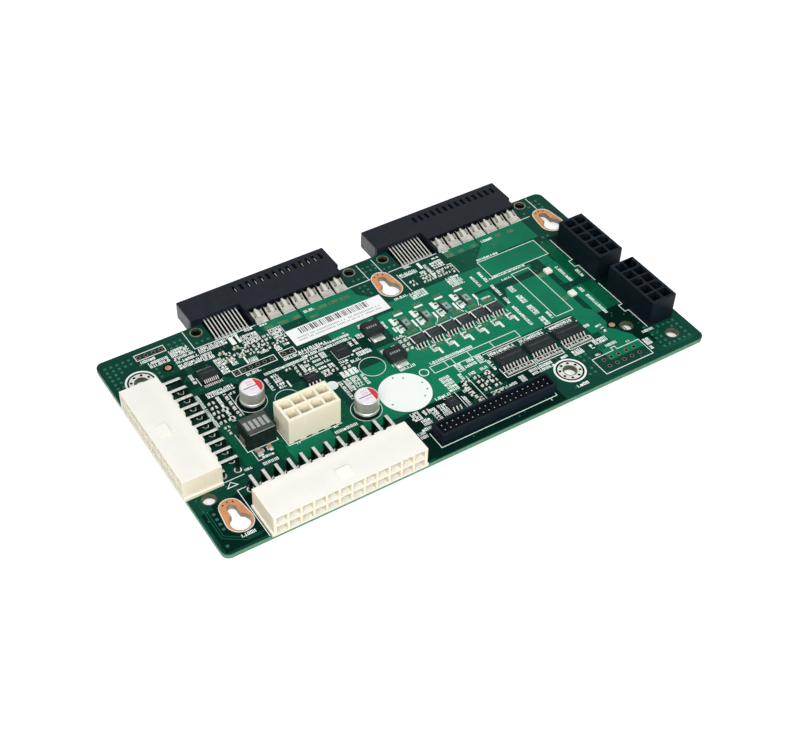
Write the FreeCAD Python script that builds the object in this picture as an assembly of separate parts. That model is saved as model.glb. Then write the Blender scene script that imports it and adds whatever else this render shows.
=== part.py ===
import FreeCAD, Part
import os

V = FreeCAD.Vector

# All sizes are in millimetres.
# Board coordinates: x from the left edge, y from the front edge, z from the plane the part rests on.
# A row is a place in y, given as a share of the board's depth.

# Board
BOARD_DEPTH = 90.0
PCB_THICK = 1.6
TAIL = 2.2
CORNER_R = 2.5
LEFT_MARGIN = 34.5
RIGHT_MARGIN = 13.1
BAY_PITCH = 71.7

# Supply connectors that straddle the rear edge
PSU_LENGTH = 55.9
PSU_DEPTH = 10.8
PSU_RISE = 2.6
CARD_SLOT = 2.2
CARD_SLOT_DEPTH = 7.5
CARD_WALL = 2.4
VENT_COUNT = 14
VENT_PITCH = 2.56
VENT_WIDE = 1.1
VENT_LONG = 3.1
VENT_DEEP = 1.0
VENT_FIRST = 19.8
VENT_BACK = 2.1
CARRIER_START = 17.8
CARRIER_END = 1.0
CARRIER_DEPTH = 4.2
RIB_WIDE = 1.2
RIB_LONG = 5.0
RIB_RISE = 1.6
SIGNAL_COUNT = 10
SIGNAL_PITCH = 1.27
SIGNAL_FIRST = 4.6
SIGNAL_WIDE = 0.42
SIGNAL_THICK = 0.25
POWER_COUNT = 7
POWER_PITCH = 5.08
POWER_WIDE = 4.2
POWER_GAP = 0.2
POWER_THICK = 0.5
FOOT_REACH = 9.8

# Power headers with two rows of contacts
PITCH = 4.2
END_ALLOWANCE = 5.4
CAVITY = 3.4
PIN = 1.07
PIN_HOLE = 1.5
RA_DEPTH = 12.8
RA_HEIGHT = 7.8
RA_ROW_STEP = 3.8
RA_CAVITY_HIGH = 3.1
RA_CAVITY_DEPTH = 9.0
RA_FLANGE = 0.5
RA_FLANGE_THICK = 1.1
RA_TIP = 2.4
RA_LEG_LOWER = 14.1
RA_LEG_UPPER = 19.0
RA_BEND = 0.5
OVERHANG = 0.6
VERT_DEPTH = 9.6
VERT_HEIGHT = 10.0
VERT_FLOOR = 2.4
VERT_TIP = 7.6
KEY_CHAMFER = 0.9
LATCH_WIDE = 4.4
LATCH_LONG = 4.0
LATCH_RISE = 0.7
LATCH_BACK = 2.2
HEADER_24_X = 15.4
HEADER_20_ROW = 0.51
HEADER_8_X = 36.4
HEADER_8_Y = 27.9
HEADER_10_INSET = 12.8
HEADER_10_ROWS = (0.268, 0.572)

# Fine pitch shrouded header
FINE_COUNT = 20
FINE_PITCH = 2.0
FINE_END = 2.3
FINE_DEPTH = 6.1
FINE_HEIGHT = 3.9
FINE_FLOOR = 1.4
FINE_WALL = 0.8
FINE_PIN = 0.5
FINE_TIP = 3.5
FINE_X = 75.6
FINE_Y = 4.3

# Mounting features
HOLE_R = 2.0
MOUNT_R = 2.1
KEY_WIDE_R = 3.2
KEY_NARROW_R = 1.4
KEY_THROW = 5.6
KEY_INSET = 9.8
KEY_FRONT = 9.2
KEY_REAR = 17.5
KEY_MIDDLE = 74.5
KEY_RIGHT = 6.8

# Larger parts on the board
CAN_R = 3.9
CAN_HEIGHT = 6.6
CAN_BASE = 7.8
CAN_BASE_CHAMFER = 1.9
CAN_BASE_THICK = 1.1
CAN_REAR_X = 35.6
CAN_REAR_ROW = 0.553
CAN_FRONT_X = 63.7
CAN_FRONT_ROW = 0.313
COIL_LEFT = 24.8
COIL_ROW = 0.399
COIL_X = 10.0
COIL_Y = 8.0
COIL_HEIGHT = 6.0
COIL_CHAMFER = 0.8
COIL_TAB = 0.4
DIODE_PLACE_X = 84.1
DIODE_ROWS = (0.645, 0.488)
DIODE_X = 6.2
DIODE_Y = 5.2
DIODE_HEIGHT = 2.3
DIODE_TAB_X = 3.8
DIODE_TAB_Y = 2.4
DIODE_TAB_THICK = 0.5
SO_DEPTH = 3.9
SO_HEIGHT = 1.45
SO_PITCH = 1.27
SO_REACH = 1.1
SO_LEAD = 0.4
FET_LENGTH = 5.4
FET_COUNT = 6
FET_STEP = 5.95
FET_TAB = 1.0
FET_FIRST = 94.6
FET_ROW = 0.514
DRIVER_LENGTH = 10.2
DRIVER_DEPTH = 5.2
DRIVER_COUNT = 3
DRIVER_STEP = 11.4
DRIVER_FIRST = 115.0
DRIVER_ROW = 0.27
NETWORK_STEP = 2.5
NETWORK_GAP = 5.4
CONTROLLER_X = 29.0
CONTROLLER_ROW = 0.749
CONTROLLER_COUNT = 8
CONTROLLER_LENGTH = 6.5
CONTROLLER_DEPTH = 4.4
CONTROLLER_PITCH = 0.65
REGULATOR_X = 56.0
REGULATOR_LENGTH = 4.9
REGULATOR_ROW = 0.54
MONITOR_X = 88.0
MONITOR_ROW = 0.187
QFN_X = 70.4
QFN_ROW = 0.607
QFN_SIDE = 5.2
QFN_HEIGHT = 0.9
LED_INSET = 24.1
LED_ROWS = (0.432, 0.582)
LED_SIDE = 2.4
LED_HEIGHT = 1.0
LABEL_LEFT = 59.7
LABEL_ROW = 0.716
LABEL_X = 35.9
LABEL_Y = 7.7
LABEL_THICK = 0.12

# Chip parts: length, width and height
CHIP_SMALL = (1.6, 0.8, 0.5)
CHIP_TALL = (1.6, 0.8, 0.8)
CHIP_LARGE = (2.0, 1.25, 0.7)

FINE_LENGTH = FINE_PITCH * (FINE_COUNT - 1) + 2 * FINE_END
BOARD_LENGTH = LEFT_MARGIN + BAY_PITCH + PSU_LENGTH + RIGHT_MARGIN
TOP = TAIL + PCB_THICK
ORIGIN = V((BOARD_LENGTH - OVERHANG) / 2, (BOARD_DEPTH + PSU_DEPTH - OVERHANG) / 2, 0)
PSU_LEFTS = (LEFT_MARGIN, LEFT_MARGIN + BAY_PITCH)


def block(x, y, z, dx, dy, dz):
    return Part.makeBox(dx, dy, dz, V(x, y, z))


def centred(x, y, z, dx, dy, dz):
    return block(x - dx / 2, y - dy / 2, z, dx, dy, dz)


def polygon(points):
    return Part.makePolygon(points + points[:1])


def side_prism(profile, x, width):
    """Solid of a y-z profile, centred on x."""
    face = Part.Face(polygon([V(x - width / 2, y, z) for y, z in profile]))
    return face.extrude(V(width, 0, 0))


def plan_prism(outline, z, height):
    """Solid of an x-y outline standing on z."""
    return Part.Face(polygon([V(x, y, z) for x, y in outline])).extrude(V(0, 0, height))


def chamfered(x, y, dx, dy, cuts):
    """Rectangle outline with a corner cut for each of the four corners, from front left onward."""
    a, b, c, d = cuts
    points = [(x + a, y), (x + dx - b, y), (x + dx, y + b), (x + dx, y + dy - c), (x + dx - c, y + dy),
              (x + d, y + dy), (x, y + dy - d), (x, y + a)]
    return [p for i, p in enumerate(points) if p != points[i - 1]]


def drafted(x, y, dx, dy, height, draft=0.25):
    """Moulded package body whose sides lean in above its parting line."""
    def ring(z, inset):
        return polygon([V(px, py, z) for px, py in chamfered(
            x - dx / 2 + inset, y - dy / 2 + inset, dx - 2 * inset, dy - 2 * inset, (0, 0, 0, 0))])
    return Part.makeLoft([ring(TOP + 0.1, 0), ring(TOP + height, draft)], True, True)


def placed(shapes, x, y, z, turn=0):
    """Copies turned about z and moved into the board's coordinates."""
    moved = FreeCAD.Placement(V(x, y, z), FreeCAD.Rotation(V(0, 0, 1), turn))
    result = []
    for shape in shapes:
        copy = shape.copy()
        copy.Placement = moved.multiply(copy.Placement)
        result.append(copy)
    return result


def save(name, shapes):
    """Write one node, moved so that the origin is under the middle of the part."""
    node = Part.makeCompound(shapes) if len(shapes) > 1 else shapes[0].copy()
    node.translate(ORIGIN.negative())
    node.exportStep("parts/" + name + ".step")


def columns_of(count):
    return [END_ALLOWANCE / 2 + PITCH * i for i in range(count)]


def cavity(x, y, z, keyed):
    """Opening of one contact of an upright header, with two corners cut where it is keyed."""
    cut = KEY_CHAMFER if keyed else 0
    outline = chamfered(x - CAVITY / 2, y - CAVITY / 2, CAVITY, CAVITY, (0, 0, cut, cut))
    return plan_prism(outline, z, VERT_HEIGHT)


def bent_pin(x, z, leg, bend):
    """Square pin that leaves the back of a right-angle header and turns down through the board."""
    half = PIN / 2
    back = leg + half
    corner = [(back - bend, z + half), (back, z + half - bend)] if bend else [(back, z + half)]
    profile = [(RA_TIP, z - half), (RA_TIP, z + half)] + corner + [
        (back, -TOP), (leg - half, -TOP), (leg - half, z - half)]
    return side_prism(profile, x, PIN)


def right_angle_header(count):
    """Housing, pins, pin centres and length of a header lying on the board, its mating face at y = 0."""
    columns = columns_of(count)
    length = columns[-1] + columns[0]
    lower, upper = (RA_HEIGHT - RA_ROW_STEP) / 2, (RA_HEIGHT + RA_ROW_STEP) / 2
    openings = [block(x - CAVITY / 2, 0, z - RA_CAVITY_HIGH / 2, CAVITY, RA_CAVITY_DEPTH, RA_CAVITY_HIGH)
                for x in columns for z in (lower, upper)]
    back_wall = RA_DEPTH - RA_CAVITY_DEPTH
    slots = [block(x - PIN / 2, RA_CAVITY_DEPTH, lower - PIN / 2, PIN, back_wall, RA_ROW_STEP + PIN)
             for x in columns]
    pins = [bent_pin(x, lower, RA_LEG_LOWER, 0) for x in columns]
    pins += [bent_pin(x, upper, RA_LEG_UPPER, RA_BEND) for x in columns]
    ramp = [(LATCH_BACK, RA_HEIGHT), (LATCH_BACK + LATCH_LONG, RA_HEIGHT + LATCH_RISE),
            (LATCH_BACK + LATCH_LONG, RA_HEIGHT)]
    flange = block(-RA_FLANGE, 0, 0, length + 2 * RA_FLANGE, RA_DEPTH, RA_FLANGE_THICK)
    body = block(0, 0, 0, length, RA_DEPTH, RA_HEIGHT).fuse([flange, side_prism(ramp, length / 2, LATCH_WIDE)])
    centres = [(x, leg) for x in columns for leg in (RA_LEG_LOWER, RA_LEG_UPPER)]
    return body.cut(openings + slots), pins, centres, length


def upright_header(count):
    """Housing, contact blades and lead tails of a header standing on the board, its front at y = 0."""
    columns = columns_of(count)
    length = columns[-1] + columns[0]
    centres = [(x, VERT_DEPTH / 2 + side * PITCH / 2) for x in columns for side in (-1, 1)]
    openings = [cavity(x, y, VERT_FLOOR, i % 3 == 1) for i, (x, y) in enumerate(centres)]
    blades = [centred(x, y, VERT_FLOOR, PIN, PIN, VERT_TIP - VERT_FLOOR) for x, y in centres]
    tails = [centred(x, y, -TOP, PIN, PIN, TAIL) for x, y in centres]
    catch = [(VERT_DEPTH, VERT_HEIGHT - 1.2), (VERT_DEPTH + LATCH_RISE, VERT_HEIGHT - 2.0),
             (VERT_DEPTH + LATCH_RISE, VERT_HEIGHT - 3.0), (VERT_DEPTH, VERT_HEIGHT - 3.0)]
    body = block(0, 0, 0, length, VERT_DEPTH, VERT_HEIGHT).fuse(side_prism(catch, length / 2, LATCH_WIDE))
    return body.cut(openings), blades + tails, [], length


def shrouded_header():
    """Fine pitch header with a wall all round its pins."""
    body = block(0, 0, 0, FINE_LENGTH, FINE_DEPTH, FINE_HEIGHT)
    well = block(FINE_WALL, FINE_WALL, FINE_FLOOR, FINE_LENGTH - 2 * FINE_WALL, FINE_DEPTH - 2 * FINE_WALL,
                 FINE_HEIGHT)
    pins = [centred(FINE_END + FINE_PITCH * i, FINE_DEPTH / 2 + side * FINE_PITCH / 2, FINE_FLOOR,
                    FINE_PIN, FINE_PIN, FINE_TIP - FINE_FLOOR)
            for i in range(FINE_COUNT) for side in (-1, 1)]
    return body.cut(well), pins


def power_contact(x):
    """Blade that steps down from the connector to its pad."""
    start = -CARRIER_DEPTH
    level = TOP + 1.2
    landing = start - 3.4
    thick = POWER_THICK
    profile = [(start, level), (landing, TOP), (-FOOT_REACH, TOP), (-FOOT_REACH, TOP + thick),
               (landing, TOP + thick), (start, level + thick)]
    return side_prism(profile, x, POWER_WIDE)


def signal_contact(x):
    """Thin spring finger sloping from the connector down to its pad."""
    level = TOP + 1.3
    foot = 0.6 - FOOT_REACH
    profile = [(0, level), (-4.4, TOP), (foot, TOP), (foot, TOP + SIGNAL_THICK), (0, level + SIGNAL_THICK)]
    return side_prism(profile, x, SIGNAL_WIDE)


def supply_connector():
    """Housing, signal fingers and power blades, with y = 0 on the board's rear edge."""
    first = CARRIER_START + RIB_WIDE + POWER_GAP + POWER_WIDE / 2
    power_xs = [first + POWER_PITCH * i for i in range(POWER_COUNT)]
    signal_xs = [SIGNAL_FIRST + SIGNAL_PITCH * i for i in range(SIGNAL_COUNT)]
    height = TOP + PSU_RISE
    span = PSU_LENGTH - CARRIER_END - CARRIER_START
    body = block(0, 0, 0, PSU_LENGTH, PSU_DEPTH, height)
    upper = block(CARRIER_START, -CARRIER_DEPTH, TOP, span, CARRIER_DEPTH, PSU_RISE)
    lower = block(CARRIER_START, -CARRIER_DEPTH, 0, span, CARRIER_DEPTH, TAIL)
    rib = block(CARRIER_START, -CARRIER_DEPTH - RIB_LONG, TOP, RIB_WIDE, RIB_LONG, RIB_RISE)
    slot = block(CARD_WALL, PSU_DEPTH - CARD_SLOT_DEPTH, (height - CARD_SLOT) / 2, PSU_LENGTH - 2 * CARD_WALL,
                 CARD_SLOT_DEPTH, CARD_SLOT)
    vents = [block(VENT_FIRST + VENT_PITCH * i - VENT_WIDE / 2, PSU_DEPTH - VENT_BACK - VENT_LONG,
                   height - VENT_DEEP, VENT_WIDE, VENT_LONG, VENT_DEEP) for i in range(VENT_COUNT)]
    housing = body.fuse([upper, lower, rib]).cut([slot] + vents)
    signals = [signal_contact(x) for x in signal_xs]
    return housing, signals, [power_contact(x) for x in power_xs]


def keyhole(x, y):
    """Cutter of a hanging slot, its wide end at x, y and its narrow end behind it."""
    wide = Part.makeCylinder(KEY_WIDE_R, PCB_THICK, V(x, y, TAIL))
    narrow = Part.makeCylinder(KEY_NARROW_R, PCB_THICK, V(x, y + KEY_THROW, TAIL))
    neck = block(x - KEY_NARROW_R, y, TAIL, 2 * KEY_NARROW_R, KEY_THROW, PCB_THICK)
    return wide.fuse([narrow, neck]).removeSplitter()


def row(share):
    return BOARD_DEPTH * share


def rear(distance):
    return BOARD_DEPTH - distance


def right(distance):
    return BOARD_LENGTH - distance


def drilled_board(pin_centres):
    """Bare board with rounded corners and every hole."""
    board = block(0, 0, TAIL, BOARD_LENGTH, BOARD_DEPTH, PCB_THICK)
    corners = [edge for edge in board.Edges if abs(edge.tangentAt(edge.FirstParameter).z) > 0.9]
    board = board.makeFillet(CORNER_R, corners)
    holes = [Part.makeCylinder(r, PCB_THICK, V(x, y, TAIL)) for x, y, r in round_holes()]
    holes += [centred(x, y, TAIL, PIN_HOLE, PIN_HOLE, PCB_THICK) for x, y in pin_centres]
    holes += [keyhole(x, y) for x, y in keyholes()]
    return board.cut(holes)


def round_holes():
    """Places and radii of the two screw holes and the plain tooling holes."""
    screws = [(right(47.2), 10.0, MOUNT_R), (9.7, rear(14.9), MOUNT_R)]
    beside = [(x, rear(2.9)) for left in PSU_LEFTS for x in (left + 0.3, left + PSU_LENGTH + 2.6)]
    loose = beside + [(5.8, row(HEADER_20_ROW) - 24.8), (right(18.6), 17.2), (right(8.2), 6.9)]
    return screws + [(x, y, HOLE_R) for x, y in loose]


def keyholes():
    return [(KEY_INSET, KEY_FRONT), (right(KEY_MIDDLE), rear(KEY_REAR)), (right(KEY_RIGHT), rear(KEY_REAR))]


def gull_leads(x, y, depth, count, pitch, width, height, sides=(-1, 1)):
    """Rows of leads that slope from a package's sides down to the board."""
    leads = []
    for i in range(count):
        lead_x = x + pitch * (i - (count - 1) / 2)
        for side in sides:
            near, far = y + side * depth / 2, y + side * (depth / 2 + SO_REACH)
            shoulder = TOP + height / 2
            profile = [(near, shoulder), (near, shoulder + 0.25), (far, TOP + 0.2), (far, TOP)]
            leads.append(side_prism(profile, lead_x, width))
    return leads


def capacitor(x, y):
    """Base and rolled can of a surface-mount electrolytic capacitor."""
    half = CAN_BASE / 2
    base = plan_prism(chamfered(x - half, y - half, CAN_BASE, CAN_BASE, (CAN_BASE_CHAMFER,) * 4), TOP,
                      CAN_BASE_THICK)
    can = Part.makeCylinder(CAN_R, CAN_HEIGHT - CAN_BASE_THICK, V(x, y, TOP + CAN_BASE_THICK))
    return base, can


def diode(x, y):
    """Body of a power diode and its metal tab and legs."""
    front = y - DIODE_Y / 2
    back = y + DIODE_Y / 2
    tab = plan_prism(chamfered(x - DIODE_TAB_X / 2, front - DIODE_TAB_Y, DIODE_TAB_X, DIODE_TAB_Y,
                               (0.7, 0.7, 0, 0)), TOP, DIODE_TAB_THICK)
    legs = [centred(x + side * DIODE_X / 3, back + 0.9, TOP, 0.9, 1.8, DIODE_TAB_THICK) for side in (-1, 1)]
    return centred(x, y, TOP, DIODE_X, DIODE_Y, DIODE_HEIGHT), [tab] + legs


def grid(x, y, across, along, step_x, step_y):
    return [(x + step_x * i, y + step_y * j) for i in range(across) for j in range(along)]


def chips(places, size, turned=False):
    length, width, height = size
    dx, dy = (width, length) if turned else (length, width)
    return [centred(x, y, TOP, dx, dy, height) for x, y in places]


def build_headers():
    """Write every front, side and top header and return the pin centres for drilling."""
    long_header = right_angle_header(12)
    short_header = right_angle_header(10)
    tall_header = upright_header(5)
    reach = tall_header[-1] / 2
    jobs = [("header_24", long_header, HEADER_24_X, -OVERHANG, 0),
            ("header_20", short_header, -OVERHANG, row(HEADER_20_ROW) + short_header[-1] / 2, -90),
            ("header_8", upright_header(4), HEADER_8_X, HEADER_8_Y, 0),
            ("header_10_front", tall_header, right(HEADER_10_INSET), row(HEADER_10_ROWS[0]) + reach, -90),
            ("header_10_rear", tall_header, right(HEADER_10_INSET), row(HEADER_10_ROWS[1]) + reach, -90)]
    drilled = []
    for name, (housing, leads, points, length), x, y, turn in jobs:
        save(name + "_housing", placed([housing], x, y, TOP, turn))
        save(name + "_pins", placed(leads, x, y, TOP, turn))
        drilled += [(x + px, y + py) if turn == 0 else (x + py, y - px) for px, py in points]
    shroud, fine_pins = shrouded_header()
    save("header_40_shroud", placed([shroud], FINE_X, FINE_Y, TOP))
    save("header_40_pins", placed(fine_pins, FINE_X, FINE_Y, TOP))
    return drilled


def build_supply_connectors():
    housing, signals, blades = supply_connector()
    for name, left in zip(("psu_left", "psu_right"), PSU_LEFTS):
        save(name + "_housing", placed([housing], left, BOARD_DEPTH, 0))
        save(name + "_signal", placed(signals, left, BOARD_DEPTH, 0))
        save(name + "_power", placed(blades, left, BOARD_DEPTH, 0))


def build_power_parts():
    """Write the capacitors, the coil and the diodes."""
    for name, x, y in (("capacitor_rear", CAN_REAR_X, row(CAN_REAR_ROW)),
                       ("capacitor_front", CAN_FRONT_X, row(CAN_FRONT_ROW))):
        base, can = capacitor(x, y)
        save(name + "_base", [base])
        save(name + "_can", [can])
    front = row(COIL_ROW) - COIL_Y / 2
    coil = plan_prism(chamfered(COIL_LEFT, front, COIL_X, COIL_Y, (COIL_CHAMFER,) * 4), TOP, COIL_HEIGHT)
    save("coil_core", [coil])
    ends = (COIL_LEFT - COIL_TAB / 2, COIL_LEFT + COIL_X + COIL_TAB / 2)
    save("coil_terminals", [centred(x, row(COIL_ROW), TOP, COIL_TAB, 3.0, 2.4) for x in ends])
    for name, share in zip(("diode_rear", "diode_front"), DIODE_ROWS):
        body, metal = diode(DIODE_PLACE_X, row(share))
        save(name + "_body", [body])
        save(name + "_terminals", metal)


def build_packages():
    """Write the integrated circuits with their leads, the lamps and the label."""
    leads = []
    y = row(FET_ROW)
    for i in range(FET_COUNT):
        x = FET_FIRST + FET_STEP * i
        save("fet_%d" % (i + 1), [drafted(x, y, FET_LENGTH, SO_DEPTH, SO_HEIGHT)])
        leads += gull_leads(x, y, SO_DEPTH, 4, SO_PITCH, SO_LEAD, SO_HEIGHT, (-1,))
        leads.append(centred(x, y + (SO_DEPTH + FET_TAB) / 2, TOP, FET_LENGTH, FET_TAB, 0.4))
    save("fet_leads", leads)
    leads = []
    y = row(DRIVER_ROW)
    for i in range(DRIVER_COUNT):
        x = DRIVER_FIRST + DRIVER_STEP * i
        save("driver_%d" % (i + 1), [drafted(x, y, DRIVER_LENGTH, DRIVER_DEPTH, SO_HEIGHT)])
        leads += gull_leads(x, y, DRIVER_DEPTH, 8, SO_PITCH, SO_LEAD, SO_HEIGHT)
    save("driver_leads", leads)
    y = row(CONTROLLER_ROW)
    save("controller", [drafted(CONTROLLER_X, y, CONTROLLER_LENGTH, CONTROLLER_DEPTH, 1.1)])
    save("controller_leads", gull_leads(CONTROLLER_X, y, CONTROLLER_DEPTH, CONTROLLER_COUNT, CONTROLLER_PITCH,
                                        0.3, 1.1))
    save("regulator", [drafted(REGULATOR_X, row(REGULATOR_ROW), REGULATOR_LENGTH, SO_DEPTH, SO_HEIGHT)])
    save("monitor", [drafted(MONITOR_X, row(MONITOR_ROW), SO_DEPTH, SO_DEPTH, SO_HEIGHT)])
    save("small_leads", gull_leads(REGULATOR_X, row(REGULATOR_ROW), SO_DEPTH, 4, SO_PITCH, SO_LEAD, SO_HEIGHT)
         + gull_leads(MONITOR_X, row(MONITOR_ROW), SO_DEPTH, 3, SO_PITCH, SO_LEAD, SO_HEIGHT))
    save("clock_chip", [centred(QFN_X, row(QFN_ROW), TOP, QFN_SIDE, QFN_SIDE, QFN_HEIGHT)])
    save("lamps", [centred(right(LED_INSET), row(share), TOP, LED_SIDE, LED_SIDE, LED_HEIGHT)
                   for share in LED_ROWS])
    save("label", [block(LABEL_LEFT, row(LABEL_ROW), TOP, LABEL_X, LABEL_Y, LABEL_THICK)])


def build_chips():
    """Write the small resistors, capacitors and arrays beside the parts that they serve."""
    resistors = grid(CAN_REAR_X - 12.0, row(CAN_REAR_ROW) - 3.4, 2, 2, 3.1, 4.6)
    resistors += grid(REGULATOR_X + 5.6, row(REGULATOR_ROW), 2, 1, 3.0, 1)
    resistors += grid(MONITOR_X - 12.4, row(MONITOR_ROW) + 1.6, 2, 1, 3.4, 1)
    save("chip_resistors", chips(resistors, CHIP_SMALL))
    capacitors = grid(CONTROLLER_X + 8.2, row(CONTROLLER_ROW) + 2.0, 2, 2, 5.2, 4.2)
    capacitors += grid(FET_FIRST + 20.0, row(CONTROLLER_ROW) + 3.6, 2, 1, 5.2, 1)
    save("chip_capacitors", chips(capacitors, CHIP_TALL))
    gate_parts = grid(FET_FIRST + 2.7, row(FET_ROW) - 5.7, FET_COUNT, 1, FET_STEP, 1)
    gate_parts += grid(FET_FIRST - 1.7, row(FET_ROW) + 7.7, 4, 1, 7.8, 1)
    save("chip_gate_parts", chips(gate_parts, CHIP_LARGE, True))
    networks = [(DRIVER_FIRST + DRIVER_STEP * i + NETWORK_STEP * (k - 1.5), row(DRIVER_ROW) - NETWORK_GAP)
                for i in range(DRIVER_COUNT) for k in range(4)]
    save("chip_networks", chips(networks, CHIP_LARGE))


os.makedirs("parts", exist_ok=True)
save("pcb", [drilled_board(build_headers())])
build_supply_connectors()
build_power_parts()
build_packages()
build_chips()
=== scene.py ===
"""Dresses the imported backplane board: mask, copper, print, headers, packages, chips, solder and a studio."""
import math
import random

import bpy
from bpy.props import FloatProperty, FloatVectorProperty, IntProperty, PointerProperty
from bpy.types import Operator, Panel, PropertyGroup
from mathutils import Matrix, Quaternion, Vector


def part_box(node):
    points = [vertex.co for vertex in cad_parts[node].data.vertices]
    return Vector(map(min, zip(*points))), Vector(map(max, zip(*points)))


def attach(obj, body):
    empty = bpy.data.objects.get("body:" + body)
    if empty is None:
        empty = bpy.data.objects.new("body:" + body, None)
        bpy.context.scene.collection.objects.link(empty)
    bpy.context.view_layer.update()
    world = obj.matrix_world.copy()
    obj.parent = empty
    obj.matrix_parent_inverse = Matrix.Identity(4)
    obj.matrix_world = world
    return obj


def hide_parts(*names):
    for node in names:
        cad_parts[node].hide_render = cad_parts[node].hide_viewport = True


bl_info = {
    "name": "Backplane Board",
    "version": (1, 0, 0),
    "blender": (4, 5, 0),
    "location": "View3D > Sidebar > Backplane",
    "description": "Builds the finished look of a power supply backplane board round its solids",
    "category": "Object",
}

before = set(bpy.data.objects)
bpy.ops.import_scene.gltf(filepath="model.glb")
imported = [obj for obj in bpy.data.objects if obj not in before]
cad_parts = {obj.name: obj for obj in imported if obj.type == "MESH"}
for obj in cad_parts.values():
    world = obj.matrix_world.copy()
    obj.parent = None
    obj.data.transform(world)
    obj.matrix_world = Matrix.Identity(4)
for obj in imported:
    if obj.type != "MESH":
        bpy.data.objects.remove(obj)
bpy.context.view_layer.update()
BOARD_LOW, BOARD_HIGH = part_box("pcb")
CORNER = Vector((BOARD_LOW.x, BOARD_LOW.y, BOARD_HIGH.z))
MM = 0.001
LENGTH = (BOARD_HIGH.x - BOARD_LOW.x) / MM
DEPTH = (BOARD_HIGH.y - BOARD_LOW.y) / MM
THICK = (BOARD_HIGH.z - BOARD_LOW.z) / MM

# Depth to which a thin layer reaches into what carries it, in millimetres.
SINK = 0.02
# Levels of the thin layers over the bare board, and the step between shapes of one layer, in millimetres.
DEEP, POUR, TRENCH, TRACK, PAD, PRINT = [(-SINK, top) for top in (0.01, 0.026, 0.042, 0.058, 0.074, 0.09)]
HAIR, HAIRS = 0.0008, 16

# Numbers of the transistors and of the gate parts behind them, and their steps in millimetres.
FETS, FET_STEP = 6, 5.95
GATES, GATE_STEP = 4, 7.95

# Hanging slots of the board, and the ends of the copper land round one, in millimetres.
KEY_WIDE, KEY_NARROW, KEY_THROW = 3.2, 1.4, 5.6
LAND_FRONT, LAND_BACK = 0.5, 5.9


def tint(red, green, blue):
    """Linear colour of a display colour given in 0 to 255."""
    def straight(value):
        value /= 255.0
        return value / 12.92 if value <= 0.04045 else ((value + 0.055) / 1.055) ** 2.4
    return (straight(red), straight(green), straight(blue))


def colour(name, about, red, green, blue):
    return FloatVectorProperty(name=name, description=about, default=tint(red, green, blue), size=3,
                               subtype="COLOR", min=0.0, max=1.0)


def length(name, about, millimetres):
    return FloatProperty(name=name, description=about, default=millimetres * MM, min=0.0, unit="LENGTH",
                         precision=5)


class BackplaneColours(PropertyGroup):
    """Colours of the board's finishes."""
    mask: colour("Solder mask", "Mask over bare laminate", 9, 65, 52)
    # Dark mask tone, also used as painted shadow behind and beside the headers.
    deep: colour("Dark mask", "Mask where no copper lies below", 3, 35, 28)
    dim: colour("Dim mask", "Mask over sparse tracks", 6, 49, 39)
    pour: colour("Masked pour", "Mask over a copper area", 18, 121, 88)
    leaf: colour("Masked plane", "Mask over the plane beside the black headers", 6, 86, 58)
    track: colour("Masked track", "Mask over a copper track", 14, 82, 62)
    mint: colour("Masked spot", "Mask over a small copper spot", 48, 110, 90)
    stain: colour("Stained via", "Mask over copper that shines through", 106, 124, 92)
    laminate: colour("Laminate", "Sawn edge of the board", 92, 140, 112)
    copper: colour("Copper land", "Bare copper round the mounting slots", 212, 146, 98)
    ring: colour("Copper ring", "Dull copper of the empty lead holes", 138, 112, 104)
    peach: colour("Bare spot", "Pale copper of the two sighting spots", 198, 152, 130)
    tin: colour("Tin", "Tinned blades and terminals", 198, 194, 185)
    pin: colour("Bright tin", "Pins, leads and fingers", 214, 214, 207)
    solder: colour("Solder", "Solder on pads and chip ends", 226, 228, 222)
    dull: colour("Dull tin", "Tin that faces away from the light", 138, 137, 124)
    ink: colour("Board print", "White print on the mask", 248, 254, 250)
    ivory: colour("Ivory nylon", "Housings of the ivory headers", 251, 248, 238)
    cream: colour("Cream nylon", "Housing of the upright ivory header", 251, 245, 226)
    navy: colour("Dark blue nylon", "Housings of the supply connectors", 26, 31, 40)
    black: colour("Black nylon", "Housings of the black headers", 14, 23, 31)
    epoxy: colour("Black epoxy", "Bodies of the packages", 38, 45, 46)
    can: colour("Can", "Aluminium of the capacitor cans", 214, 215, 206)
    lid: colour("Can top", "Lacquered top of the cans", 240, 237, 244)
    mark: colour("Can mark", "Polarity mark on the cans", 214, 50, 62)
    paper: colour("Label paper", "Paper of the label", 252, 253, 253)
    resistor: colour("Resistor body", "Glazed chip resistors", 20, 21, 23)
    ceramic: colour("Capacitor body", "Ceramic chip capacitors", 128, 113, 84)
    lamp: colour("Lamp", "Resin of the lamps", 250, 250, 240)


class BackplaneSizes(PropertyGroup):
    """Sizes of the drawn detail."""
    print_width: length("Print line", "Width of the printed outlines", 0.22)
    track_width: length("Track", "Width of a masked track", 0.3)
    housing_edge: length("Housing edge", "Rounding of the moulded housings", 0.14)
    package_edge: length("Package edge", "Rounding of the packages and cans", 0.1)
    joint_radius: length("Solder joint", "Radius of a solder joint on the underside", 1.15)
    seed: IntProperty(name="Scatter", description="Seed of the small marks and chips", default=7, min=0)


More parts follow.
